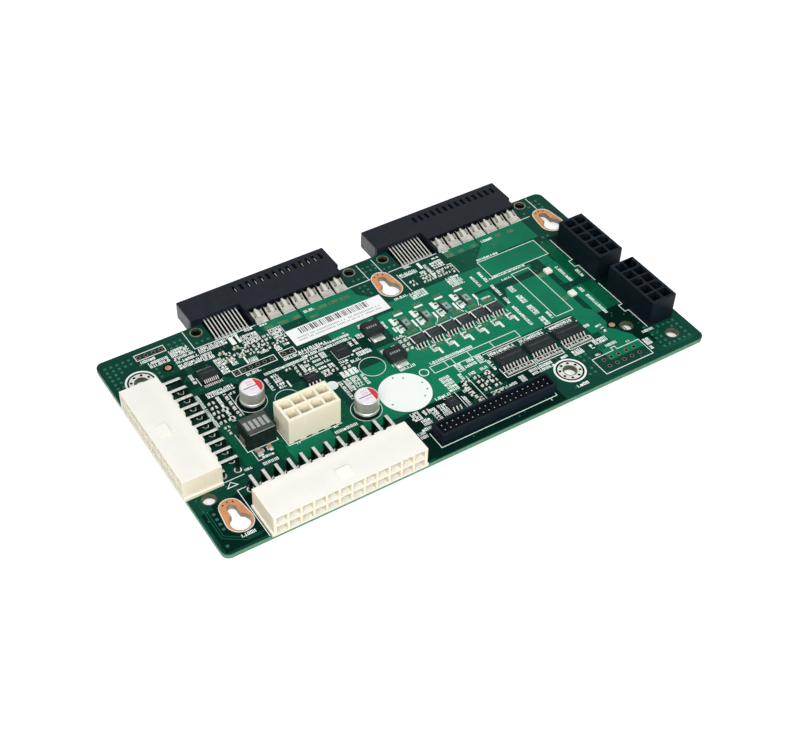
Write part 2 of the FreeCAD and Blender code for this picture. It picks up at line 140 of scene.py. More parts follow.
class BackplaneStudio(PropertyGroup):
    """Light and camera."""
    sky: FloatProperty(name="Sky", description="Strength of the surrounding light", default=0.46, min=0.0)
    lamp_power: FloatProperty(name="Lamp", description="Power of the overhead soft box", default=8.4,
                              min=0.0, unit="POWER")
    eye: FloatVectorProperty(name="Eye", description="Camera place from the board's front left corner",
                             default=(-0.09361, -0.22105, 0.30288), subtype="TRANSLATION", unit="LENGTH")
    aim: FloatVectorProperty(name="Aim", description="Point of the board that the camera looks at",
                             default=(0.05763, 0.03694, 0.0), subtype="TRANSLATION", unit="LENGTH")
    roll: FloatProperty(name="Roll", description="Turn of the camera about its own axis",
                        default=math.radians(-0.5455), subtype="ANGLE")
    lens: FloatProperty(name="Lens", description="Focal length on a 36 mm sensor", default=61.88, min=1.0,
                        unit="CAMERA")


def colours():
    return bpy.context.scene.backplane_colours


def sizes():
    return bpy.context.scene.backplane_sizes


def studio():
    return bpy.context.scene.backplane_studio


# Finishes

def blank(name):
    """New material with its node tree, shader and object coordinates."""
    material = bpy.data.materials.new(name)
    material.use_nodes = True
    tree = material.node_tree
    where = tree.nodes.new("ShaderNodeTexCoord")
    return material, tree, tree.nodes["Principled BSDF"], where.outputs["Object"]


def wire(tree, node, values, links):
    """Set input values of a node and link other inputs of it."""
    for key, value in values.items():
        node.inputs[key].default_value = value
    for key, source in links.items():
        tree.links.new(source, node.inputs[key])
    return node


def add(tree, kind, values, links):
    return wire(tree, tree.nodes.new(kind), values, links)


def reckon(tree, operation, values, links):
    """Result of a sum on one or two values."""
    node = add(tree, "ShaderNodeMath", values, links)
    node.operation = operation
    return node.outputs["Value"]


def speckle(tree, where, grain, detail=3.0):
    noise = add(tree, "ShaderNodeTexNoise", {"Scale": grain, "Detail": detail}, {"Vector": where})
    return noise.outputs["Fac"]


def between(tree, value, first, second, low=0.35, high=0.65):
    """Colour that goes from first to second as the value rises."""
    ramp = add(tree, "ShaderNodeValToRGB", {}, {"Fac": value})
    for element, place, shown in zip(ramp.color_ramp.elements, (low, high), (first, second)):
        element.position = place
        element.color = (*shown, 1.0)
    return ramp.outputs["Color"]


def spread(tree, value, low, high):
    limits = {"From Min": 0.3, "From Max": 0.7, "To Min": low, "To Max": high}
    return add(tree, "ShaderNodeMapRange", limits, {"Value": value}).outputs["Result"]


def roughen(tree, height, distance, strength):
    bump = add(tree, "ShaderNodeBump", {"Distance": distance * MM, "Strength": strength}, {"Height": height})
    return bump.outputs["Normal"]


def shade(base, amount):
    return tuple(min(1.0, max(0.0, part * amount)) for part in base)


def mottled(tree, value, base, low, high):
    return between(tree, value, shade(base, low), shade(base, high))


def by_facing(tree, level, upright):
    """Colour that goes from one on upright faces to another on level ones."""
    facing = tree.nodes.new("ShaderNodeNewGeometry")
    parts = add(tree, "ShaderNodeSeparateXYZ", {}, {"Vector": facing.outputs["Normal"]})
    flat = reckon(tree, "ABSOLUTE", {}, {0: parts.outputs["Z"]})
    mix = add(tree, "ShaderNodeMixRGB", {}, {"Fac": flat, "Color1": upright, "Color2": level})
    return mix.outputs["Color"]


def plain_finish(name, base, vary, grain, rough, gloss=0.3, metal=0.0, bump=0.0, bump_grain=3000.0):
    """Finish with mottled colour, uneven gloss and a fine surface."""
    material, tree, shader, where = blank(name)
    links = {"Base Color": mottled(tree, speckle(tree, where, grain), base, 1 - vary, 1 + vary),
             "Roughness": spread(tree, speckle(tree, where, grain * 2.7), rough - 0.06, rough + 0.06)}
    if bump:
        links["Normal"] = roughen(tree, speckle(tree, where, bump_grain, 2.0), bump, 0.5)
    wire(tree, shader, {"Metallic": metal, "Specular IOR Level": gloss}, links)
    return material


def nylon_finish(name, base, side):
    """Pale moulded nylon that lets some light through; side is a darker tone painted on its upright faces as
    shade.
    """
    material, tree, shader, where = blank(name)
    mottle = speckle(tree, where, 160.0)
    level, upright = [mottled(tree, mottle, tone, 0.988, 1.012) for tone in (base, side)]
    wire(tree, shader,
         {"Specular IOR Level": 0.25, "Subsurface Weight": 0.3, "Subsurface Radius": (1.0, 0.95, 0.88),
          "Subsurface Scale": 1.2 * MM},
         {"Base Color": by_facing(tree, level, upright),
          "Roughness": spread(tree, speckle(tree, where, 430.0), 0.42, 0.54),
          "Normal": roughen(tree, speckle(tree, where, 2600.0, 2.0), 0.01, 0.5)})
    return material


def lead_finish(name, base):
    """Tinned lead, bright above, with its sides painted dark green as shade and as a reflection of the board.
    """
    material, tree, shader, where = blank(name)
    mottle = speckle(tree, where, 900.0)
    level = mottled(tree, mottle, base, 0.86, 1.1)
    # Painted shade and reflection on the upright faces.
    upright = between(tree, mottle, tint(14, 44, 34), tint(30, 74, 58))
    wire(tree, shader, {"Metallic": 0.85},
         {"Base Color": by_facing(tree, level, upright), "Roughness": spread(tree, mottle, 0.22, 0.36)})
    return material


def mask_finish(name, base, gloss=0.05, side=None):
    """Glossy mask over woven laminate; side is the colour of the sawn edge."""
    material, tree, shader, where = blank(name)
    top = mottled(tree, speckle(tree, where, 70.0, 5.0), base, 0.86, 1.12)
    if side:
        top = by_facing(tree, top, mottled(tree, speckle(tree, where, 900.0), side, 0.8, 1.1))
    weave = add(tree, "ShaderNodeTexBrick", {"Scale": 900.0, "Mortar Size": 0.08}, {"Vector": where})
    wire(tree, shader, {"Specular IOR Level": gloss},
         {"Base Color": top, "Roughness": spread(tree, speckle(tree, where, 400.0), 0.34, 0.46),
          "Normal": roughen(tree, weave.outputs["Fac"], 0.01, 0.25)})
    return material


def spun_finish(name, base):
    """Drawn aluminium with faint rings up its wall."""
    material, tree, shader, where = blank(name)
    rings = add(tree, "ShaderNodeTexWave", {"Scale": 1400.0, "Distortion": 1.5}, {"Vector": where})
    rings.bands_direction = "Z"
    height = rings.outputs["Fac"]
    wire(tree, shader, {"Metallic": 0.6},
         {"Base Color": between(tree, height, shade(base, 0.9), shade(base, 1.04), 0.1, 0.9),
          "Roughness": spread(tree, speckle(tree, where, 1500.0), 0.26, 0.4),
          "Normal": roughen(tree, height, 0.01, 0.3)})
    return material


def finishes():
    """Every finish by name, with the function that makes it and what that takes after the name."""
    c = colours()
    black = (0.1, 0.0, 0.02, 2600.0)
    # Colour, its variation and grain, roughness, gloss, metal, and the depth and grain of the surface.
    plain = {
        "mint_mask": (c.mint, 0.16, 800.0, 0.4, 0.12),
        "stained_mask": (c.stain, 0.3, 700.0, 0.45, 0.12),
        "bare_copper": (c.copper, 0.1, 500.0, 0.42, 0.3, 0.4, 0.01),
        "dull_copper": (c.ring, 0.2, 700.0, 0.45, 0.3, 0.3, 0.01),
        "pale_copper": (c.peach, 0.12, 700.0, 0.45, 0.3, 0.3, 0.01),
        "tinned_brass": (c.tin, 0.16, 420.0, 0.26, 0.3, 0.7, 0.02, 500.0),
        "bright_tin": (c.pin, 0.1, 900.0, 0.28, 0.3, 0.9, 0.01),
        "dull_tin": (c.dull, 0.16, 800.0, 0.44, 0.3, 0.6, 0.01),
        "olive_tin": (tint(88, 90, 68), 0.25, 900.0, 0.4, 0.3, 0.5),
        "shaded_tin": (tint(46, 47, 50), 0.2, 900.0, 0.5, 0.3, 0.5),
        "solder": (c.solder, 0.14, 700.0, 0.3, 0.3, 0.45, 0.02, 900.0),
        "board_print": (c.ink, 0.02, 900.0, 0.55),
        "navy_nylon": (c.navy, 0.14, 300.0, 0.42, *black),
        "black_nylon": (c.black, 0.16, 300.0, 0.42, *black),
        "shroud_nylon": (tint(17, 28, 36), 0.16, 300.0, 0.42, *black),
        # Paler nylon painted on the housings' left ends as a sheen.
        "worn_nylon": (tint(92, 95, 100), 0.2, 500.0, 0.5, 0.3, 0.0, 0.02, 2600.0),
        "black_epoxy": (c.epoxy, 0.18, 700.0, 0.5, 0.08, 0.0, 0.02, 4000.0),
        "worn_epoxy": (shade(c.epoxy, 1.7), 0.25, 700.0, 0.5, 0.08, 0.0, 0.02, 4000.0),
        "ferrite": (tint(26, 40, 37), 0.2, 500.0, 0.42, 0.06, 0.0, 0.03, 1800.0),
        # Paler ferrite painted on the coil's top as light.
        "ferrite_face": (tint(76, 80, 77), 0.16, 700.0, 0.6, 0.1, 0.0, 0.03, 1800.0),
        "can_lid": (c.lid, 0.03, 500.0, 0.36, 0.3, 0.2, 0.01),
        "can_mark": (c.mark, 0.06, 900.0, 0.45),
        "label_paper": (c.paper, 0.02, 500.0, 0.7, 0.3, 0.0, 0.008, 3500.0),
        "label_ink": (tint(30, 30, 34), 0.2, 900.0, 0.7),
        "grey_ink": (tint(164, 166, 164), 0.12, 900.0, 0.6),
        "faint_ink": (tint(70, 72, 74), 0.2, 900.0, 0.6),
        "pink_ink": (tint(214, 158, 190), 0.1, 900.0, 0.5),
        "score_ink": (tint(58, 40, 74), 0.2, 900.0, 0.5),
        "resistor_glaze": (c.resistor, 0.2, 900.0, 0.36, 0.2),
        "chip_ceramic": (c.ceramic, 0.2, 700.0, 0.45),
        "gold_ceramic": (tint(180, 146, 96), 0.16, 700.0, 0.45),
        "glazed_part": (tint(140, 176, 164), 0.22, 900.0, 0.4, 0.2),
        "gate_body": (tint(74, 106, 92), 0.25, 700.0, 0.4, 0.15),
        "lamp_resin": (c.lamp, 0.05, 600.0, 0.25),
        "shadow_hole": (tint(5, 10, 9), 0.3, 900.0, 0.6, 0.03),
    }
    return {
        "solder_mask": (mask_finish, c.mask, 0.05, c.laminate),
        "deep_mask": (mask_finish, c.deep, 0.02),
        "dim_mask": (mask_finish, c.dim, 0.03),
        "pour_mask": (mask_finish, c.pour),
        "leaf_mask": (mask_finish, c.leaf),
        "track_mask": (mask_finish, c.track),
        "gap_mask": (mask_finish, c.mask),
        "lead_tin": (lead_finish, c.pin),
        # The second tone of each nylon is painted shade on its upright faces.
        "ivory_nylon": (nylon_finish, c.ivory, tint(234, 226, 202)),
        "cream_nylon": (nylon_finish, c.cream, tint(251, 241, 215)),
        "can_aluminium": (spun_finish, c.can),
        **{name: (plain_finish, *values) for name, values in plain.items()},
    }


def paint(name):
    """Material of that finish, made on first use."""
    title = name + "_finish"
    if title not in bpy.data.materials:
        maker, *values = finishes()[name]
        maker(title, *values)
    return bpy.data.materials[title]


def dress(nodes, finish, edge=0.0, steps=2):
    """Give solids a finish, and rounded edges where edge is set."""
    for node in nodes:
        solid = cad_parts[node]
        solid.data.materials.clear()
        solid.data.materials.append(paint(finish))
        if edge:
            weld = solid.modifiers.new("Weld", "WELD")
            weld.merge_threshold = 1e-6
            flat = solid.modifiers.new("Flatten", "DECIMATE")
            flat.decimate_type = "DISSOLVE"
            flat.angle_limit = math.radians(1.0)
            bevel = solid.modifiers.new("Edge", "BEVEL")
            bevel.width = edge
            bevel.segments = steps
            bevel.limit_method = "ANGLE"
            bevel.angle_limit = math.radians(40.0)


# Drawing in board millimetres: x from the left edge, y from the front edge, z from the bare board's top

def stroke(points, width):
    """Outline of a line of that width along the points, with mitred corners."""
    left, right = [], []
    last = len(points) - 1
    for i, point in enumerate(points):
        here = Vector(point)
        runs = []
        if i > 0:
            runs.append((here - Vector(points[i - 1])).normalized())
        if i < last:
            runs.append((Vector(points[i + 1]) - here).normalized())
        normals = [Vector((-run.y, run.x)) for run in runs]
        mitre = sum(normals, Vector((0.0, 0.0))).normalized()
        reach = width / 2 / max(0.4, mitre.dot(normals[0]))
        left.append(tuple(here + mitre * reach))
        right.append(tuple(here - mitre * reach))
    return left + right[::-1]


def box_outline(x0, y0, x1, y1):
    return [(x0, y0), (x1, y0), (x1, y1), (x0, y1)]


def circle(x, y, radius, sides=24, start=0.0, sweep=360.0):
    """Points round a circle; a part circle has both of its ends."""
    whole = sweep >= 360.0
    count = sides if whole else sides + 1
    turns = [math.radians(start + sweep * i / sides) for i in range(count)]
    return [(x + radius * math.cos(t), y + radius * math.sin(t)) for t in turns]


def slot_outline(x, front, back, radius_front, radius_back, sides=16):
    """Outline round two circles one behind the other, with the same number of points for any radii."""
    lean = math.degrees(math.asin((radius_front - radius_back) / (back - front)))
    return (circle(x, front, radius_front, sides, 180.0 - lean, 180.0 + 2 * lean)
            + circle(x, back, radius_back, sides, lean, 180.0 - 2 * lean))


def key_outline(x, y, grow=0.0):
    """Outline of a hanging slot, larger all round by grow."""
    wide, narrow = KEY_WIDE + grow, KEY_NARROW + grow
    shoulder = math.asin(narrow / wide)
    foot = wide * math.cos(shoulder)
    turn = math.degrees(shoulder)
    rises = [foot + (KEY_THROW - foot) * i / 4 for i in range(1, 4)]
    points = circle(x, y, wide, 32, 90.0 + turn, 360.0 - 2 * turn)
    points += [(x + narrow, y + rise) for rise in rises]
    points += circle(x, y + KEY_THROW, narrow, 12, 0.0, 180.0)
    return points + [(x - narrow, y + rise) for rise in reversed(rises)]


def land_outline(x, y, radius_front, radius_back, sides=16):
    """Outline of the copper land round a hanging slot."""
    return slot_outline(x, y + LAND_FRONT, y + LAND_BACK, radius_front, radius_back, sides)


def cast(points, centre, outline):
    """Places where rays from a centre through the points cross an outline round them."""
    middle = Vector(centre)
    hits = []
    for point in points:
        run = Vector(point) - middle
        reach = 0.0
        for first, second in zip(outline, outline[1:] + outline[:1]):
            corner, edge = Vector(first) - middle, Vector(second) - Vector(first)
            turn = run.x * edge.y - run.y * edge.x
            if abs(turn) > 1e-9 and 0.0 <= (corner.x * run.y - corner.y * run.x) / turn <= 1.0:
                reach = max(reach, (corner.x * edge.y - corner.y * edge.x) / turn)
        hits.append(tuple(middle + run * reach))
    return hits


class Shapes:
    """Closed solids gathered into one mesh."""

    def __init__(self):
        self.points = []
        self.faces = []
        self.count = 0

    def add(self, points, faces):
        start = len(self.points)
        self.points += points
        self.faces += [[start + i for i in face] for face in faces]

    def hair(self):
        """Small growth, different for neighbours, that keeps overlapping shapes out of one plane."""
        self.count += 1
        return HAIR * (self.count % HAIRS)

    def extrude(self, outline, low, high, place):
        """Solid of an outline between two levels; place turns a point and a level into x, y and z."""
        area = sum(a[0] * b[1] - b[0] * a[1] for a, b in zip(outline, outline[1:] + outline[:1]))
        if area < 0:
            outline = outline[::-1]
        lift = self.hair()
        count = len(outline)
        walls = [(i, (i + 1) % count, count + (i + 1) % count, count + i) for i in range(count)]
        self.add([place(a, b, level) for level in (low - lift, high + lift) for a, b in outline],
                 [list(range(count))[::-1], [count + i for i in range(count)]] + walls)

    def prism(self, outline, low, high):
        self.extrude(outline, low, high, lambda x, y, z: (x, y, z))

    def ramp(self, profile, left, right):
        """Solid of a y-z profile between two places in x."""
        self.extrude(profile, left, right, lambda y, z, x: (x, y, z))

    def slab(self, x0, y0, x1, y1, low, high):
        self.prism(box_outline(x0, y0, x1, y1), low, high)

    def bar(self, turned, a0, b0, a1, b1, low, high):
        """Slab given along and across; turned swaps the two."""
        box = (b0, a0, b1, a1) if turned else (a0, b0, a1, b1)
        self.slab(*box, low, high)

    def line(self, points, width, low, high):
        self.prism(stroke(points, width), low, high)

    def disc(self, x, y, radius, low, high, sides=24):
        self.prism(circle(x, y, radius, sides), low, high)

    def band(self, inner, outer, low, high):
        """Solid between two outlines with the same number of points."""
        lift = self.hair()
        count = len(inner)
        faces = []
        for i in range(count):
            j = (i + 1) % count
            faces += [(2 * count + i, 3 * count + i, 3 * count + j, 2 * count + j),
                      (i, j, count + j, count + i),
                      (count + i, count + j, 3 * count + j, 3 * count + i),
                      (j, i, 2 * count + i, 2 * count + j)]
        self.add([(x, y, z) for z in (low - lift, high + lift) for ring in (inner, outer) for x, y in ring],
                 faces)

    def ring(self, x, y, inner, outer, low, high, sides=32):
        self.band(circle(x, y, inner, sides), circle(x, y, outer, sides), low, high)

    def turned(self, x, y, profile, sides=48):
        """Solid of revolution of radius and height pairs that starts and ends on the axis."""
        rings = profile[1:-1]
        points = [(x, y, profile[0][1])]
        for radius, z in rings:
            points += [(px, py, z) for px, py in circle(x, y, radius, sides)]
        points.append((x, y, profile[-1][1]))
        faces = []
        for i in range(sides):
            j = (i + 1) % sides
            faces.append((0, 1 + j, 1 + i))
            for k in range(len(rings) - 1):
                a, b = 1 + k * sides, 1 + (k + 1) * sides
                faces.append((a + i, a + j, b + j, b + i))
            top = 1 + (len(rings) - 1) * sides
            faces.append((top + i, top + j, len(points) - 1))
        self.add(points, faces)

    def piece(self, name, finish, smooth=None):
        """Make the mesh object, paint it and set it on the board."""
        mesh = bpy.data.meshes.new(name)
        mesh.from_pydata([CORNER + Vector(p) * MM for p in self.points], [], self.faces)
        mesh.update()
        mesh.materials.append(paint(finish))
        if smooth:
            mesh.shade_smooth()
            mesh.set_sharp_from_angle(angle=math.radians(smooth))
        thing = bpy.data.objects.new(name, mesh)
        bpy.context.collection.objects.link(thing)
        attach(thing, "root")
        return thing


def islands(node):
    """Separate solids of a node, each as a list of points in board millimetres."""
    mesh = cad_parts[node].data
    spots = [tuple(round(v, 3) for v in (vertex.co - CORNER) / MM) for vertex in mesh.vertices]
    root = {spot: spot for spot in spots}

    def find(spot):
        while root[spot] != spot:
            root[spot] = root[root[spot]]
            spot = root[spot]
        return spot
    for face in mesh.polygons:
        ring = [spots[i] for i in face.vertices]
        for other in ring[1:]:
            root[find(other)] = find(ring[0])
    groups = {}
    for spot in root:
        groups.setdefault(find(spot), []).append(spot)
    return sorted(groups.values(), key=lambda group: min(group))


def extent(points):
    """Lowest and highest x, y and z of points."""
    return [(min(p[k] for p in points), max(p[k] for p in points)) for k in range(3)]


def solids(node):
    """Extents of the separate solids of a node."""
    return [extent(group) for group in islands(node)]


def span(node):
    """Extent of a node that is one solid."""
    return solids(node)[0]


def skin(top, rise):
    """Levels of a thin layer on a face at that height."""
    return top - SINK, top + rise


def under(layer):
    """Levels of a layer that is turned over to lie below the board."""
    return -THICK - layer[1], -THICK + SINK


def lay_areas(name, finish, areas, layer, holes=()):
    """Piece of flat boxes (tuples), outlines (lists), and bands that fill a rectangle round each hole."""
    shapes = Shapes()
    for area in areas:
        shapes.prism(box_outline(*area) if isinstance(area, tuple) else area, *layer)
    for inside, centre, edge in holes:
        shapes.band(inside, cast(inside, centre, edge), *layer)
    shapes.piece(name, finish)


def tails(node):
    """Places of the leads that come out below the board."""
    places = []
    for group in islands(node):
        low = [p for p in group if p[2] < -THICK - 0.5]
        if low:
            (x0, x1), (y0, y1), _ = extent(low)
            places.append(((x0 + x1) / 2, (y0 + y1) / 2))
    return places


def node_names(start="", end=""):
    return sorted(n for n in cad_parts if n.startswith(start) and n.endswith(end))


# Parts that come in sets, and places of the board's holes; the first plain holes lie along the rear edge.
HEADERS = ("header_24", "header_20", "header_8", "header_10_front", "header_10_rear")
SUPPLIES = ("psu_left", "psu_right")
KEYHOLES = ((9.8, 9.2), (LENGTH - 74.5, DEPTH - 17.5), (LENGTH - 6.8, DEPTH - 17.5))
SCREWS = ((LENGTH - 47.2, 10.0), (9.7, DEPTH - 14.9))
PLAIN_HOLES = ((34.8, 87.1), (93.0, 87.1), (106.5, 87.1), (164.7, 87.1), (5.8, 21.1), (LENGTH - 18.6, 17.2),
               (LENGTH - 8.2, 6.9))
REAR_HOLES = 4


def taken():
    """Rectangles of the board that carry something already."""
    rectangles = []
    for node in node_names():
        if node != "pcb":
            for (x0, x1), (y0, y1), (_, top) in solids(node):
                if top > 0:
                    rectangles.append((x0, y0, x1, y1))
    rectangles += [(x - 5.0, y - 4.5, x + 5.0, y + 10.5) for x, y in KEYHOLES]
    rectangles += squares(SCREWS, 5.6) + squares(PLAIN_HOLES, 2.8)
    rectangles += [(69.7, 20.4, 86.7, 37.4), (39.6, 41.0, 48.0, 49.4), (71.0, 39.6, 80.0, 48.4),
                   (58.2, 41.0, 62.4, 45.0), (35.6, 61.8, 51.5, 65.2), (52.8, 61.8, 58.6, 65.2)]
    return rectangles


def squares(places, reach):
    return [(x - reach, y - reach, x + reach, y + reach) for x, y in places]


def clear(rectangles, x0, y0, x1, y1, gap=0.25):
    return all(x1 + gap < a or x0 - gap > c or y1 + gap < b or y0 - gap > d for a, b, c, d in rectangles)


# Pieces

class MaskOperator(Operator):
    """Mask the board and lay the copper areas and tracks that show through it"""
    bl_idname = "backplane.mask"
    bl_label = "Mask and copper"

    def execute(self, context):
        dress(["pcb"], "solder_mask")
        self.lay_dark()
        self.lay_pours()
        self.lay_trenches()
        self.lay_tracks(sizes().track_width / MM)
        return {"FINISHED"}

    def lay_dark(self):
        """Areas without copper below, whose dark mask also paints the shadow behind and beside the headers,
        and lighter ones with sparse tracks below.
        """
        boxes = [
            (1, 1, 5.2, 17), (5.2, 1, 14.4, 5), (14.4, 1, 71, 17), (71, 0.4, 75, 19),
            (75, 0.4, 119.4, 20.4), (155.8, 6.6, 160.6, 14.2), (152.4, 20.2, 159.6, 27),
            (159.6, 14.2, 174, 27), (161.9, 27, 174, 67), (22.4, 44.5, 35, 62), (94, 20.4, 109, 23.4)]
        x, y = KEYHOLES[0]
        land = slot_outline(x, y, y + LAND_BACK, 4.2, 3.5, 32)
        holes = [(land, (x, y + 3), box_outline(5.2, 5, 14.4, 18.9))]
        x, y = PLAIN_HOLES[5]
        holes.append((circle(x, y, 2.1, 48), (x, y), box_outline(153.6, 14.2, 159.6, 20.2)))
        lay_areas("dark_areas", "deep_mask", boxes, DEEP, holes)
        dim = [
            (35, 50, 60, 62), (60, 44, 68, 63), (68, 51.2, 80.6, 58.4), (16, 62.4, 22.4, 73),
            [(22.4, 62), (60, 62), (60, 79.8), (30.8, 79.8), (22.4, 73.5)]]
        lay_areas("dim_areas", "dim_mask", dim, DEEP)

    def lay_pours(self):
        """Copper areas that show bright, dimmer planes, and one plane deeper in the board."""
        centre = [
            (60, 20.6), (93.8, 20.6), (93.8, 23.6), (106.6, 23.6), (108, 25.4), (108, 31), (144.5, 31),
            (144.5, 19.8), (150.5, 19.8), (152.2, 22), (152.2, 29), (150.2, 31.2), (150.2, 59),
            (132.6, 59.5), (132.6, 66.9), (125, 67), (96, 67), (96, 63), (88.8, 63), (88.8, 50),
            (80.8, 50), (80.8, 44.4), (71.4, 44.4), (70, 46), (66, 46), (66, 36), (60, 31)]
        supply_left = [
            (54, 80.2), (54, 76), (60, 75.6), (68.5, 75.6), (68.5, 72.2), (93, 72.2), (89.2, 76),
            (89.2, 80.2)]
        front_right = [
            (142, 7), (155.6, 7), (155.6, 13), (152, 18.4), (151, 19.6), (147, 19.6), (147, 17.8), (142, 14)]
        supply_right = [(126, 80.2), (126, 76), (140, 76), (133.4, 69.6), (160, 69.6), (160, 80.2)]
        areas = [
            centre, supply_left, supply_right, (71, 58.6, 88, 64), (35, 20.6, 50, 28.4),
            (133.4, 60, 157, 69), (152, 56, 156.4, 59.8), front_right, (152.4, 44.6, 156.8, 55.8),
            (152.4, 27.2, 156.8, 41.6)]
        lay_areas("copper_pours", "pour_mask", areas, POUR)
        planes = [
            (156.8, 44.6, 161.8, 55.8), (156.8, 27.2, 161.8, 41.6), (157.4, 55.8, 161.8, 66),
            (21.4, 26.6, 24, 46), (24, 26.6, 25.2, 31.4), (31.8, 20.6, 34.8, 31.8),
            (34.8, 28.6, 36.8, 31.8), (50.2, 20.6, 59.8, 28.4), (54.6, 28.6, 59.8, 46)]
        lay_areas("copper_planes", "leaf_mask", planes, POUR)
        inner = [(125.6, 67.2), (132.6, 67.2), (133.2, 69.6), (139.6, 75.9), (125.6, 75.9)]
        lay_areas("inner_plane", "track_mask", [inner], POUR)

    def lay_trenches(self):
        """Dark gaps between neighbouring pours."""
        areas = [
            (122, 55.2, 150.2, 56.2),
            [(128.6, 45), (131, 47.4), (133.6, 53), (150.4, 53.2), (150.4, 56), (128.6, 56)],
            (150.4, 31.4, 152.2, 59.8), [(147, 56.2), (150.4, 56.2), (150.4, 59.8), (149, 59.8)],
            (68.3, 72.2, 69, 80.2), (60, 72.3, 68.3, 75.4), (142, 6.2, 155.6, 7), (139.6, 76, 140.2, 80.2),
            (152.2, 42, 161.8, 44.4)]
        lay_areas("dark_gaps", "gap_mask", areas, TRENCH)

    def lay_tracks(self, width):
        """Bundles of parallel tracks: first track, number of tracks and the step from one to the next."""
        bundles = [
            ([(2.2, 25), (2.2, 70), (5, 73)], 3, (0.6, 0.0)),
            ([(70, 12), (74, 12), (78, 15.5), (78, 20)], 5, (0.7, -0.2)),
            ([(20, 43.5), (24, 43.5), (26, 45), (31, 45)], 4, (0.0, 0.6)),
            ([(21, 61), (33, 61), (36, 58.5), (42, 58.5)], 6, (0.0, 0.55)),
            ([(41, 52), (41, 44), (38, 41), (36.5, 41)], 5, (0.6, 0.0)),
            ([(50, 40), (50, 47), (53, 50)], 5, (0.62, 0.0)),
            ([(55, 66), (55, 72), (52, 75), (52, 79.5)], 6, (0.55, 0.1)),
            ([(38, 66.5), (46, 66.5), (50, 70)], 5, (0.0, 0.6)),
            ([(88, 13), (94, 13), (96, 15), (108, 15)], 3, (0.0, 0.6)),
            ([(97, 20.8), (108, 20.8), (108, 27)], 3, (0.0, 0.7)),
            ([(120, 12.4), (145, 12.4), (148, 15)], 4, (0.0, 0.55)),
            ([(113, 68), (113, 73), (118, 78)], 5, (0.7, 0.0)),
            ([(158, 9), (158, 3), (160, 1.9), (172, 1.9)], 3, (0.6, 0.35)),
            ([(173.6, 8), (173.6, 60)], 2, (-0.6, 0.0)),
            ([(21, 68), (24, 71), (24, 80), (21, 83), (15, 83)], 4, (0.55, 0.0)),
            ([(56, 62), (60, 58), (60, 52)], 4, (0.6, 0.0)),
            ([(14, 3), (9, 3), (3.2, 7), (3.2, 22)], 2, (-0.8, -0.6)),
            ([(16, 22.5), (22, 22.5), (24, 25), (24, 30)], 4, (0.6, -0.4))]
        tracks = Shapes()
        for route, count, (dx, dy) in bundles:
            for i in range(count):
                tracks.line([(x + dx * i, y + dy * i) for x, y in route], width, *TRACK)
        tracks.piece("copper_tracks", "track_mask")


